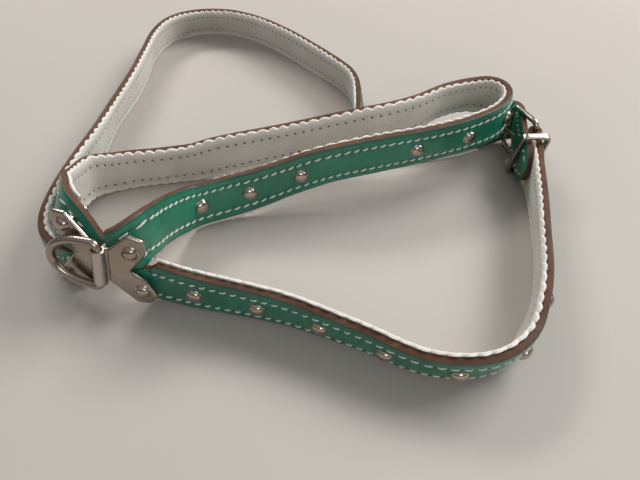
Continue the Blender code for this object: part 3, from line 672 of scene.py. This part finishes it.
# ---------------------------------------------------------------- plate directions
UP = Vector((0.156, 0.174, 0.972)).normalized()
RIGHT = Vector((0.988, -0.0275, -0.154))
RIGHT = (RIGHT - UP * RIGHT.dot(UP)).normalized()
RIGHT_FACE = RIGHT.cross(UP).normalized()  # outwards from the right wing, towards -Y
LEFT = (Matrix.Rotation(math.radians(LEFT_TURN), 3, UP) @ -RIGHT).normalized()
LEFT_FACE = UP.cross(LEFT).normalized()
BARREL_FACE = (RIGHT_FACE + LEFT_FACE).normalized()
PLATE = PLATE_AT + SHIFT_VECTOR
BARREL = PLATE + BARREL_FACE * (BARREL_OUT + PLATE_T / 2)


# ---------------------------------------------------------------- strap pieces
def sag(across):
    """How far the outer face has fallen at a distance from the middle."""
    return CROWN * (abs(across) / HALF_W) ** 2.6


def wobble(dist, seed):
    """A smooth unevenness between -1 and 1."""
    return (0.5 * math.sin(dist * 0.71 + seed) + 0.3 * math.sin(dist * 1.93 + 2.1 * seed)
            + 0.2 * math.sin(dist * 4.7 + 0.7 * seed))


def leather_profile(half, inner, outer):
    """(across, out, slot) round the section; the slot is that of the face that starts there."""
    narrow = min(1.0, half / HALF_W)
    thin = min(1.0, (outer - inner) / LEATHER_T)
    radius = min(0.45, (outer - inner) * 0.2) * narrow
    top = outer - CROWN * thin
    groove = 0.26 if narrow > 0.8 else 0.0  # depth of the stitch groove
    belly = inner + (top - inner) * 0.4
    turns = [math.pi / 2 * step / 4 for step in (1, 2, 3)]
    face = []
    for a in (8.1, 7.0, 6.15, 5.75, 5.4, 5.05, 4.65, 2.4):
        dip = groove * max(0.0, 1 - abs(a - STITCH_ROW) / 0.7)
        face.append((a * narrow, outer - sag(a) * thin - dip))
    profile = [
        (-half + 0.5 * narrow, inner, BACK_SLOT), (0.0, inner, BACK_SLOT),
        (half - 0.5 * narrow, inner, EDGE_SLOT), (half - 0.08 * narrow, inner + 0.2, EDGE_SLOT),
        (half + 0.06, belly, EDGE_SLOT), (half, top - radius, EDGE_SLOT),
    ]
    for a in turns:
        x, y = half - radius + radius * math.cos(a), top - radius + radius * math.sin(a)
        profile.append((x, y, FACE_SLOT))
    profile += [(x, y, FACE_SLOT) for x, y in face] + [(0.0, outer, FACE_SLOT)]
    profile += [(-x, y, FACE_SLOT) for x, y in reversed(face)]
    for a in reversed(turns):
        x, y = -half + radius - radius * math.cos(a), top - radius + radius * math.sin(a)
        profile.append((x, y, EDGE_SLOT if a == turns[0] else FACE_SLOT))
    return profile + [
        (-half, top - radius, EDGE_SLOT), (-half - 0.06, belly, EDGE_SLOT),
        (-half + 0.08 * narrow, inner + 0.2, EDGE_SLOT),
    ]


def band_rows(band, start, end, half=None, step=1.0):
    """Leather sections along a band: distance, place, across, out, half width, inner, outer."""
    dists = list(np.arange(start, end, step))
    if end - dists[-1] < 0.3:
        dists[-1] = end
    else:
        dists.append(end)
    rows = []
    for dist in dists:
        place, _, across, out = band.at(dist)
        width = half(dist) if half else HALF_W
        rows.append((float(dist), place, across, out, width, INNER, OUTER))
    return rows


def leather(name, rows, caps=(False, False), limits=None):
    """A leather piece; limits gives the lowest and highest place across the strap."""
    verts, uvs = [], []
    for dist, place, across, out, half, inner, outer in rows:
        profile = leather_profile(half, inner, outer)
        for x, y, _ in profile:
            if abs(x) > half - 0.6:
                x += math.copysign(0.07 * wobble(dist, 1.3 if x > 0 else 4.4), x)
            if limits:
                # squeeze what passes a limit close against it
                least, most = limits(dist, place, across)
                if x > most:
                    x = most - (half - x) * 0.04
                elif x < least:
                    x = least + (half + x) * 0.04
            verts.append(place + across * x + out * y)
            uvs.append((dist, x))
    faces = ring_faces(len(rows), len(profile), caps=caps)
    slots = [slot for _, _, slot in profile] * (len(rows) - 1) + [EDGE_SLOT] * sum(caps)
    return make_object(name, verts, faces, (GREEN, EDGE, SUEDE), uvs, slots)


def plain_edges(dist):
    return 9.25, 9.2


def neck_edges(dist):
    """The lining sits lower on the front run, so it shows below the leather and not above."""
    front = min(1.0, max(0.0, (dist - 215.0) / 35.0))
    plate = min(1.0, max(0.0, (dist - 330.0) / 50.0))
    upper = 9.15 * (1 - front) + 8.25 * front - 1.0 * plate
    return upper, 9.2 * (1 - front) + 10.9 * front + 0.7 * plate


def buckle_edges(dist):
    """The lining is trimmed narrower where it passes through the keeper."""
    wide = min(1.0, max(0.0, (buckle.length - 6.0 - dist) / 6.0))
    return 8.2 + 1.05 * wide, 8.2 + 1.0 * wide


def tooth(dist, edge, turn):
    """Half width of the toothed lining; turn sets where the teeth fall."""
    phase = math.pi * (dist + turn + 0.5 * wobble(dist * 0.3, turn)) / SCALLOP
    return edge - 0.25 + 1.0 * abs(math.sin(phase)) ** 0.6 + 0.12 * wobble(dist * 2.3, turn)


def lining(name, band, start, end, caps, edges=plain_edges):
    """A woven sheet with rounded teeth along both edges; edges gives its half widths."""
    columns = [-1.0, -0.965, -0.86, -0.6, -0.3, 0.0, 0.3, 0.6, 0.86, 0.965, 1.0]
    count = len(columns)
    middle = (LINING_OUTER + LINING_INNER) / 2
    dists = np.arange(start, end + 0.01, 0.5)
    verts, uvs, faces = [], [], []
    for dist in dists:
        place, _, across, out = band.at(dist)
        upper, lower = [tooth(dist, edge, turn) for edge, turn in zip(edges(dist), (0.0, 1.9))]
        if across[2] > 0.3:  # stay above the floor
            lower = min(lower, (place[2] + out[2] * LINING_INNER - 0.1) / across[2])
        for inner in (False, True):
            for column in columns:
                half = upper if column > 0 else lower
                x = column * half
                y = LINING_INNER if inner else LINING_OUTER
                if abs(column) == 1.0:  # rounded rim
                    x = column * (half + 0.05)
                    y = middle + (-0.3 if inner else 0.3)
                ripple = 0.10 * wobble(dist, 2.2 + (column > 0))
                y += ripple * max(0.0, abs(column) - 0.5) * 2 * (0.4 if inner else 1.0)
                if inner and abs(column) < 1.0:
                    y = max(y, LINING_INNER)
                if column > 0.9 and x > 9.15:  # the upper teeth curl outwards
                    y += 0.55 * min(1.0, x - 9.15)
                verts.append(place + across * x + out * y)
                uvs.append((dist, x))
    last = (len(dists) - 1) * 2 * count
    for a in range(0, last, 2 * count):
        b = a + 2 * count
        for k in range(count - 1):
            faces.append((a + k, a + k + 1, b + k + 1, b + k))
            faces.append((a + count + k, b + count + k, b + count + k + 1, a + count + k + 1))
        for k in (0, count - 1):
            faces.append((a + k, b + k, b + count + k, a + count + k))
    around = (*range(count), *range(2 * count - 1, count - 1, -1))
    for capped, a in zip(caps, (0, last)):
        if capped:
            faces.append(tuple(a + k for k in around))
    return make_object(name, verts, faces, (CREAM,), uvs)


def plain_row(dist):
    return STITCH_ROW


def stitches(name, band, start, end, slant=1.0, row=plain_row, limits=None):
    """Raised saddle stitches: one bent, slightly slanted capsule each."""
    verts, uvs, faces = [], [], []
    rings, sides = 7, 8
    first, stop = [int(math.ceil(dist / STITCH_PITCH - 0.5)) for dist in (start, end)]
    for sign in (-1, 1):
        for k in range(first, stop):
            middle = (k + 0.5) * STITCH_PITCH
            offset = row(middle)
            if offset is None:
                continue
            if limits:
                place, _, across, _ = band.at(middle)
                least, most = limits(middle, place, across)
                if not least + 1.2 < sign * offset < most - 1.2:
                    continue
            lean = slant * (0.34 + 0.06 * RNG.standard_normal())
            reach = 1.34 + 0.08 * RNG.standard_normal()
            start_vert = len(verts)
            for i in range(rings):
                part = -1 + 2 * i / (rings - 1)
                dist = middle + part * reach
                place, _, across, out = band.at(dist)
                here = row(dist)
                here = offset if here is None else here
                x = sign * here + part * lean
                radius = 0.36 * math.sqrt(max(0.0, 1 - (abs(part) ** 3.4))) + 0.05
                lift = (OUTER - sag(STITCH_ROW) - 0.06 + 0.16 * (1 - part * part)
                        - 0.18 * abs(part) ** 4)
                for j in range(sides):
                    a = 2 * math.pi * j / sides
                    side = radius * math.cos(a)
                    height = lift + 0.72 * radius * math.sin(a)
                    verts.append(place + across * (x + side) + out * height)
                    uvs.append((dist, side + 3 * j / sides))
            faces += ring_faces(rings, sides, start_vert)
    return make_object(name, verts, faces, (THREAD,), uvs)


def blend(obj, band, split):
    """Bakes a near piece's transform into its mesh; the band's place and heading at the split are
    looked up but not used.
    """
    place, ahead, _, _ = band.at(split)
    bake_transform(obj)


def end_limits(side, clear, joined, from_end=None):
    """Limits that keep a strap end above (+1) or below (-1) the plate's middle.

    They hold fully up to clear from the end, and are gone by joined.
    """
    point = np.array(tuple(PLATE + UP * 0.3 * side))
    normal = np.array(tuple(-UP * side))

    def limits(dist, place, across):
        distance = from_end - dist if from_end else dist
        reach = float(np.dot(across, normal))
        edge = float(np.dot(point - place, normal)) / reach
        free = min(1.0, max(0.0, (distance - clear) / (joined - clear)))
        free = free * free * (3 - 2 * free)
        least, most = -99.0, 99.0
        if reach > 0:
            most = edge * (1 - free) + 9.2 * free if edge < 9.2 else 99.0
        else:
            least = edge * (1 - free) - 9.2 * free if edge > -9.2 else -99.0
        return least, most

    return limits


def cut_corner(obj, wing):
    """Slants off a girth strap end under the plate's middle."""
    cut_away(obj, PLATE + wing * 2.4 - UP * 5.8, wing * -0.63 - UP * 0.777)


# ---------------------------------------------------------------- neck loop
def build_neck():
    loop = "neck_loop"
    start, end = NECK_LEFT + NEAR, NECK_RIGHT - NEAR
    left_limits = end_limits(1, 10.0, 14.0)
    right_limits = end_limits(1, 13.0, 19.0, neck.length)
    ride(leather("neck_leather", band_rows(neck, start, end)), loop, "neck_strap_leather")

    near = leather("neck_leather_left", band_rows(neck, -4.0, start), (True, False), left_limits)
    cut_away(near, PLATE + RIGHT * 0.6, RIGHT)
    blend(near, neck, NECK_LEFT)
    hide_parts("neck_strap_left_end")
    rows = band_rows(neck, end, neck.length + 2.0)
    near = leather("neck_leather_right", rows, (False, True), right_limits)
    cut_away(near, PLATE + RIGHT * 0.9, -RIGHT)
    blend(near, neck, NECK_RIGHT)
    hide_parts("neck_strap_right_end")

    pad = lining("neck_lining", neck, start, end, (False, False), neck_edges)
    ride(pad, loop, "neck_strap_lining")
    pad = lining("neck_lining_left", neck, NECK_LEFT - 1.0, start, (True, False), neck_edges)
    blend(pad, neck, NECK_LEFT)
    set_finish(pad, "cream_lining")
    pad = lining("neck_lining_right", neck, end, NECK_RIGHT - 1.0, (False, True), neck_edges)
    blend(pad, neck, NECK_RIGHT)
    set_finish(pad, "cream_lining")

    ride(stitches("neck_stitching", neck, start, end, slant=-1.0), loop)
    row = stitches("neck_stitching_left", neck, 3.0, start, slant=-1.0, limits=left_limits)
    blend(row, neck, NECK_LEFT)
    row = stitches("neck_stitching_right", neck, end, neck.length - 7.0, slant=-1.0,
                   limits=right_limits)
    blend(row, neck, NECK_RIGHT)


# ---------------------------------------------------------------- girth loop, tongue strap
def tip_half(dist):
    """Half width of the leather, rounding off at the tip."""
    left = tongue.length + TIP_EXTRA - dist
    if left > TIP_ROUND:
        return HALF_W
    bow = math.sqrt(max(0.0, 1 - ((TIP_ROUND - left) / TIP_ROUND) ** 2))
    return max(2.2, HALF_W * bow * 0.82 + 1.62 * left / TIP_ROUND)


def tip_row(dist):
    """Place of the stitch row, closing in at the tip; None past its end."""
    if tongue.length + TIP_EXTRA - dist < 3.6:
        return None
    return min(STITCH_ROW, max(0.5, tip_half(dist) - 3.6))


def build_tongue():
    """Builds the tongue strap and returns its tip, whose slot is cut later."""
    loop = "girth_loop"
    start, end = TONGUE_SPLIT + NEAR, tongue.length + TIP_EXTRA
    tail_start = tongue.length - TAIL
    limits = end_limits(-1, 9.0, 13.0)
    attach(leather("tongue_leather", band_rows(tongue, start, tail_start)), loop)
    rows = band_rows(tongue, tail_start, end, tip_half, 0.6)
    tip = leather("tongue_leather_tip", rows, (True, True))
    near = leather("tongue_leather_near", band_rows(tongue, 0.0, start), (True, False), limits)
    cut_away(near, PLATE - RIGHT * 0.3, RIGHT)
    cut_corner(near, LEFT)
    blend(near, tongue, TONGUE_SPLIT)
    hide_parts("girth_tongue_strap_end")
    pad = lining("tongue_lining", tongue, start, tongue.length - 62.0, (False, True))
    ride(pad, loop, "girth_tongue_strap_lining")
    pad = lining("tongue_lining_near", tongue, TONGUE_SPLIT - 1.0, start, (True, False))
    blend(pad, tongue, TONGUE_SPLIT)
    ride(stitches("tongue_stitching", tongue, start, end, slant=-1.0, row=tip_row), loop)
    row = stitches("tongue_stitching_near", tongue, 3.0, start, slant=-1.0, limits=limits)
    blend(row, tongue, TONGUE_SPLIT)
    return tip


# ---------------------------------------------------------------- girth loop, buckle strap
def fold_rows(last_row):
    """Leather sections from the strap's last one on round the buckle bar."""
    _, place, across, out, *_ = last_row
    x, y = [place[j] + out[j] * (INNER + OUTER) / 2 for j in range(2)]
    turn = []
    for a in (math.radians(d) for d in range(0, 181, 12)):
        spot = (BAR_AT[0] + FOLD_R * math.cos(a), BAR_AT[1] + FOLD_R * math.sin(a))
        turn.append((*spot, FOLD_T, FOLD_W))
    chain = [(x, y, LEATHER_T, LEATHER_W)]
    for x, y, thick, wide in FOLD_RUN_IN + turn + FOLD_FLAP:
        chain.append((x + SHIFT[0], y + SHIFT[1], thick, wide))
    chain = np.array(chain)
    steps = np.linalg.norm(np.diff(chain[:, :2], axis=0), axis=1)
    arc = np.concatenate([[0], np.cumsum(steps)])
    dists = np.arange(0, arc[-1], 0.5)
    points = np.stack([np.interp(dists, arc, chain[:, j]) for j in range(4)], 1)
    for _ in range(2):
        points[1:-1] = (points[:-2] + 2 * points[1:-1] + points[2:]) / 4
    rows = [(buckle.length, place, across, out, HALF_W, INNER, OUTER)]
    upright = np.array([0, 0, 1.0])
    headings = np.gradient(points[:, :2], axis=0)
    for (x, y, thick, wide), heading, dist in list(zip(points, headings, dists))[1:]:
        heading = heading / np.linalg.norm(heading)
        middle = np.array([x, y, STRAP_MID])
        side = np.array([heading[1], -heading[0], 0.0])
        rows.append((buckle.length + dist, middle, upright, side, wide / 2, -thick / 2, thick / 2))
    return rows


def build_buckle_strap():
    """Builds the buckle strap and returns its folded end, whose slot is cut later."""
    loop = "girth_loop"
    start, end = BUCKLE_SPLIT + NEAR, buckle.length
    limits = end_limits(-1, 8.5, 14.5)
    rows = band_rows(buckle, start, end)
    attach(leather("buckle_leather", rows), loop)
    fold = leather("buckle_leather_fold", fold_rows(rows[-1]), (True, True))
    near = leather("buckle_leather_near", band_rows(buckle, 0.0, start), (True, False), limits)
    cut_away(near, PLATE + RIGHT * 0.3, -RIGHT)
    cut_corner(near, RIGHT)
    blend(near, buckle, BUCKLE_SPLIT)
    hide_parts("girth_buckle_strap_end")
    pad = lining("buckle_lining", buckle, start, end, (False, True), buckle_edges)
    ride(pad, loop, "girth_buckle_strap_lining")
    pad = lining("buckle_lining_near", buckle, BUCKLE_SPLIT - 1.0, start, (True, False))
    blend(pad, buckle, BUCKLE_SPLIT)
    ride(stitches("buckle_stitching", buckle, start, end), loop)
    row = stitches("buckle_stitching_near", buckle, 7.0, start, limits=limits)
    blend(row, buckle, BUCKLE_SPLIT)
    return fold


build_neck()
tongue_tip = build_tongue()
buckle_fold = build_buckle_strap()
cut_slot(buckle_fold, centre=(BAR_AT[0], BAR_AT[1] + 0.3, PRONG_Z), size=(7.4, 7.6, 2.9))
cut_slot(tongue_tip, centre=(91.9, -7.8, PRONG_Z), size=(9.0, 13.4, 2.8))
ride(buckle_fold, "girth_loop", "girth_buckle_strap_leather")
ride(tongue_tip, "girth_loop", "girth_tongue_strap_leather")


# ---------------------------------------------------------------- metal shapes
def sweep(name, path, binormal, profile, closed=True, scales=None):
    """A nickel bar along the path; profile is (sideways, along binormal)."""
    points = np.array([tuple(p) for p in path], float)
    binormal = np.array(tuple(Vector(binormal).normalized()))
    count = len(points)
    if scales is None:
        scales = [1.0] * count
    verts = []
    for i, scale in enumerate(scales):
        if closed:
            ahead = points[(i + 1) % count] - points[i - 1]
        else:
            ahead = points[min(i + 1, count - 1)] - points[max(i - 1, 0)]
        ahead /= np.linalg.norm(ahead)
        side = np.cross(ahead, binormal)
        side /= np.linalg.norm(side)
        for x, y in profile:
            verts.append(points[i] + side * x * scale + binormal * y * scale)
    faces = ring_faces(count, len(profile), closed=closed, caps=(not closed, not closed))
    return make_object(name, verts, faces, (NICKEL,))


def revolve(name, profile, at, axis, mat, sides=32):
    """Turns (radius, height) points about the axis."""
    z = Vector(axis).normalized()
    x = Vector((0, 0, 1)).cross(z).normalized()
    y = z.cross(x)
    verts = []
    for radius, height in profile:
        for k in range(sides):
            a = 2 * math.pi * k / sides
            round_off = x * radius * math.cos(a)
            verts.append(Vector(at) + round_off + y * radius * math.sin(a) + z * height)
    return make_object(name, verts, ring_faces(len(profile), sides), (mat,))


def circle(radius, sides):
    turns = (2 * math.pi * k / sides for k in range(sides))
    return [(radius * math.cos(a), radius * math.sin(a)) for a in turns]


def corner_arcs(corners, radius, steps):
    """Quarter arcs about (x, y, first angle in degrees) centres."""
    points = []
    for x, y, first in corners:
        for k in range(steps + 1):
            a = math.radians(first + 90 * k / steps)
            points.append((x + radius * math.cos(a), y + radius * math.sin(a)))
    return points


def rounded_box(half_w, half_h, radius, steps=4):
    x, y = half_w - radius, half_h - radius
    return corner_arcs(((x, y, 0), (-x, y, 90), (-x, -y, 180), (x, -y, 270)), radius, steps)


def dense(path, closed=True, step=0.5, smooth=1):
    """Evenly spaced points on a path, smoothed a few times."""
    points = np.array([tuple(p) for p in path], float)
    if closed:
        points = np.vstack([points, points[:1]])
    steps = np.linalg.norm(np.diff(points, axis=0), axis=1)
    arc = np.concatenate([[0], np.cumsum(steps)])
    dists = np.linspace(0, arc[-1], int(arc[-1] / step), endpoint=not closed)
    out = np.stack([np.interp(dists, arc, points[:, j]) for j in range(3)], 1)
    for _ in range(smooth):
        if closed:
            out = (np.roll(out, 1, 0) + 2 * out + np.roll(out, -1, 0)) / 4
        else:
            out[1:-1] = (out[:-2] + 2 * out[1:-1] + out[2:]) / 4
    return [Vector(p) for p in out]


# ---------------------------------------------------------------- junction
def rounded_outline(points, radius=0.9, steps=3):
    """Corners of a flat outline replaced by short curves."""
    out = []
    for i, point in enumerate(points):
        corner = Vector(point)
        back = Vector(points[i - 1]) - corner
        ahead = Vector(points[(i + 1) % len(points)]) - corner
        reach = min(radius, back.length * 0.4, ahead.length * 0.4)
        start = corner + back.normalized() * reach
        end = corner + ahead.normalized() * reach
        for k in range(steps + 1):
            f = k / steps
            out.append((start * (1 - f) + corner * f) * (1 - f) + (corner * (1 - f) + end * f) * f)
    return out


def plate_half(name, outline, wing, facing):
    """A stamped plate half, bevelled on both sides."""
    points = rounded_outline(outline)
    count = len(points)
    area = sum(points[i - 1].x * points[i].y - points[i].x * points[i - 1].y for i in range(count))
    sign = 1.0 if area > 0 else -1.0
    inward = []
    for i in range(count):
        ahead = (points[(i + 1) % count] - points[i - 1]).normalized()
        inward.append(Vector((-ahead.y, ahead.x)))
    # inset, height
    layers = [
        (0.45, 0.0), (0.12, 0.18), (0.0, 0.5), (0.0, PLATE_T - 0.55), (0.22, PLATE_T - 0.2),
        (0.62, PLATE_T - 0.02), (0.95, PLATE_T),
    ]
    verts = []
    for inset, height in layers:
        for point, direction in zip(points, inward):
            spot = point + direction * inset * sign
            verts.append(PLATE + wing * spot.x + UP * spot.y + facing * height)
    obj = make_object(name, verts, ring_faces(len(layers), count), (NICKEL,))
    obj.data.set_sharp_from_angle(angle=math.radians(60))
    return obj


def build_plate():
    """Both halves, and the barrel with the web behind it."""
    parts = [
        plate_half("half_r", RIGHT_HALF, RIGHT, RIGHT_FACE),
        plate_half("half_l", LEFT_HALF, LEFT, LEFT_FACE),
    ]
    middle = BARREL + UP * BARREL_LIFT
    profile = [
        (BORE_R, -BARREL_HALF), (BARREL_R - BARREL_LIP, -BARREL_HALF),
        (BARREL_R, -BARREL_HALF + BARREL_LIP), (BARREL_R, BARREL_HALF - BARREL_LIP),
        (BARREL_R - BARREL_LIP, BARREL_HALF), (BORE_R, BARREL_HALF),
    ]
    parts.append(revolve("barrel", profile, middle, UP, NICKEL, 40))
    heights = np.linspace(-BARREL_HALF + 0.9, BARREL_HALF - 0.9, 8)
    path = [middle - BARREL_FACE * 1.5 + UP * height for height in heights]
    section = rounded_box(5.2 / 2, 1.6 / 2, 0.5)
    parts.append(sweep("web", path, BARREL_FACE, section, closed=False))
    ride(join("plate", parts), "junction", "junction_plate")


def build_rivets():
    """Rivet heads on the plate, and the caps behind it with their shanks."""
    heads, backs, names = [], [], []
    for half, wing, facing, spots in (
        ("right", RIGHT, RIGHT_FACE, RIGHT_RIVETS), ("left", LEFT, LEFT_FACE, LEFT_RIVETS),
    ):
        for (x, y), level in zip(spots, ("upper", "lower")):
            at = PLATE + wing * x + UP * y
            names.append(f"{half}_{level}")
            heads.append(revolve("head", RIVET_HEAD, at + facing * (PLATE_T - 0.05), facing, STUD))
            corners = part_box("rivet_cap_" + names[-1])
            cap = Vector([(a + b) / 2 / MM for a, b in zip(*corners)])
            backs.append(revolve("back", RIVET_CAP, cap, -facing, NICKEL))
            shank = [(SHANK_R, 0.0), (SHANK_R, (at - cap).dot(facing) + 0.6)]
            backs.append(revolve("shank", shank, cap, facing, NICKEL, 16))
    ride(join("plate_rivets", heads), "junction", *["plate_rivet_" + name for name in names])
    ride(join("rivet_caps", backs), "junction", *["rivet_cap_" + name for name in names])


def build_ring():
    """D-ring: its straight side runs in the barrel."""
    tilt = math.radians(RING_TILT)
    reach = (LEFT * math.cos(tilt) + LEFT_FACE * math.sin(tilt)).normalized()
    middle, tall = (RING_TOP + RING_BOTTOM) / 2, (RING_TOP - RING_BOTTOM) / 2
    corner = RING_CORNER
    # distance from the barrel, height
    outline = [(0.0, -tall + corner), (0.0, tall - corner)]
    outline += [(0.35 * corner, tall - 0.3 * corner), (corner, tall)]
    for k in range(1, 32):
        a = math.pi / 2 - math.pi * k / 32
        x = corner + (RING_REACH - corner) * abs(math.cos(a)) ** 0.85
        outline.append((x, tall * math.sin(a)))
    outline += [(corner, -tall), (0.35 * corner, -tall + 0.3 * corner)]
    path = dense([BARREL + reach * x + UP * (middle + y) for x, y in outline])
    ring = sweep("ring", path, reach.cross(UP), circle(RING_WIRE_R, 20))
    ride(ring, "d_ring_body", "d_ring")


# ---------------------------------------------------------------- buckle
def build_frame():
    bar = Vector((BAR_AT[0], BAR_AT[1], 0.0)) + SHIFT_VECTOR
    along = Vector((RIM_AT[0] - BAR_AT[0], RIM_AT[1] - BAR_AT[1], 0.0))
    width = along.length
    along.normalize()
    low, high = FRAME_LOW + FRAME_CORNER, FRAME_HIGH - FRAME_CORNER
    near, far = FRAME_CORNER, width - FRAME_CORNER
    corners = ((near, low, 180), (far, low, 270), (far, high, 0), (near, high, 90))
    path = [bar + along * x + Vector((0, 0, z)) for x, z in corner_arcs(corners, FRAME_CORNER, 6)]
    binormal = along.cross(Vector((0, 0, 1)))
    ring = sweep("buckle_ring", dense(path), binormal, circle(FRAME_WIRE_R, 16))
    ride(ring, "buckle_frame_body", "buckle_frame")


def build_prong():
    """An eye round the bar and a tapering pin to the rim."""
    section = circle(PRONG_R, 14)
    centre = Vector((*BAR_AT, PRONG_Z)) + SHIFT_VECTOR
    path = [centre + Vector((x, y, 0)) for x, y in circle(FRAME_WIRE_R + 0.1 + PRONG_R, 40)]
    eye = sweep("eye", path, (0, 0, 1), section)
    path = [Vector((x, y, PRONG_Z)) + SHIFT_VECTOR for x, y in PRONG_PATH]
    arm = dense(path, closed=False, step=0.6, smooth=2)
    taper = np.interp(np.linspace(0, 1, len(arm)), [0, 0.75, 0.93, 1.0], [1.0, 0.95, 0.75, 0.35])
    pin = sweep("pin", arm, (0, 0, 1), section, closed=False, scales=taper)
    ride(join("prong", [eye, pin]), "buckle_prong_body", "buckle_prong")


def build_keeper():
    centre = Vector(KEEPER_AT) + SHIFT_VECTOR
    lean = Matrix.Rotation(math.radians(KEEPER_LEAN), 3, "X")
    half_w, half_h = [inside / 2 + KEEPER_T / 2 for inside in KEEPER_IN]
    outline = rounded_box(half_w, half_h, KEEPER_CORNER, 5)
    path = dense([centre + lean @ Vector((x, 0, z)) for x, z in outline])
    section = rounded_box((KEEPER_T - 0.1) / 2, KEEPER_W / 2, 0.5)
    keeper = sweep("keeper_loop", path, lean @ Vector((0, 1, 0)), section)
    ride(keeper, "keeper_body", "buckle_keeper")


# ---------------------------------------------------------------- studs
def studs(name, band, dists, body, node):
    """Domed studs on the outer face; the CAD nodes are numbered from 1."""
    made = []
    for dist in dists:
        place, _, _, out = band.at(dist)
        made.append(revolve("stud", STUD_DOME, place + out * (OUTER - 0.02), out, STUD, 36))
    ride(join(name, made), body, *[f"{node}_{i + 1}" for i in range(len(made))])


def neck_stud_dists():
    """Distances on the neck strap's front run that come nearest each stud's x."""
    front = np.arange(neck.length * 0.55, neck.length - 10.0, 0.25)
    return [
        min(front, key=lambda dist, x=x: abs(neck.at(dist)[0][0] - SHIFT[0] - x))
        for x in NECK_STUDS
    ]


build_plate()
build_rivets()
build_ring()
build_frame()
build_prong()
build_keeper()
studs("neck_studs", neck, neck_stud_dists(), "neck_loop", "neck_stud")
studs("girth_studs", buckle, GIRTH_STUDS, "girth_loop", "girth_stud")

SLOT_OF = {
    GREEN: "green_leather", THREAD: "green_leather", CREAM: "cream_lining",
    NICKEL: "nickel", STUD: "nickel",
}
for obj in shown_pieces():
    if "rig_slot" in obj:
        continue
    first = obj.data.materials[0] if obj.data.materials else None
    if first in SLOT_OF:
        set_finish(obj, SLOT_OF[first])


# ---------------------------------------------------------------- stage
def build_floor():
    bm = bmesh.new()
    bmesh.ops.create_grid(bm, x_segments=2, y_segments=2, size=2.0)
    mesh = bpy.data.meshes.new("floor")
    bm.to_mesh(mesh)
    bm.free()
    floor = link("floor", mesh)
    floor.location = (0, 0, -0.0001)
    mesh.materials.append(floor_material())
    floor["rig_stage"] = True


def area(name, at, to, size, power, colour):
    """A rectangular light, in metres and watts."""
    light = bpy.data.lights.new(name, "AREA")
    light.shape = "RECTANGLE"
    light.size, light.size_y = size
    light.energy = power
    light.color = colour
    obj = link(name, light)
    obj.location = at
    obj.rotation_euler = (Vector(to) - Vector(at)).to_track_quat("-Z", "Y").to_euler()
    obj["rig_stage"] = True


def build_world():
    """Warm below, cool white above."""
    world = bpy.data.worlds.new("studio")
    bpy.context.scene.world = world
    world.use_nodes = True
    tree = world.node_tree
    back = tree.nodes["Background"]
    coord = tree.nodes.new("ShaderNodeTexCoord")
    split = tree.nodes.new("ShaderNodeSeparateXYZ")
    ramp = tree.nodes.new("ShaderNodeValToRGB")
    tree.links.new(coord.outputs["Generated"], split.inputs[0])
    tree.links.new(split.outputs[2], ramp.inputs[0])
    tree.links.new(ramp.outputs[0], back.inputs[0])
    low, high = ramp.color_ramp.elements
    low.position = 0.0
    low.color = rgb(0.30, 0.25, 0.21)
    high.position = 0.8
    high.color = rgb(0.95, 0.97, 1.0)
    back.inputs["Strength"].default_value = 0.36


def build_camera():
    cam = bpy.data.cameras.new("camera")
    cam.sensor_width = 36.0
    cam.lens = 28.69
    cam.clip_start = 0.01
    camera = link("camera", cam)
    camera.location = tuple((np.array([3.0, -197.0, 148.0]) + SHIFT) * MM)
    camera.rotation_euler = (math.radians(43.0), 0.0, 0.0)
    bpy.context.scene.camera = camera


build_floor()
area("window", at=(0.75, 0.35, 0.75), to=(0.0, 0.0, 0.0), size=(0.7, 0.5), power=11.0,
     colour=(1.0, 0.985, 0.96))
area("front_fill", at=(0.25, -0.9, 0.6), to=(0.0, -0.05, 0.0), size=(0.5, 0.4), power=2.0,
     colour=(0.96, 0.98, 1.0))
area("strip", at=(-0.35, 0.6, 0.7), to=(-0.02, -0.02, 0.02), size=(0.6, 0.2), power=5.0,
     colour=(1.0, 0.97, 0.93))
build_world()
build_camera()
bpy.context.scene.view_settings.view_transform = "Standard"
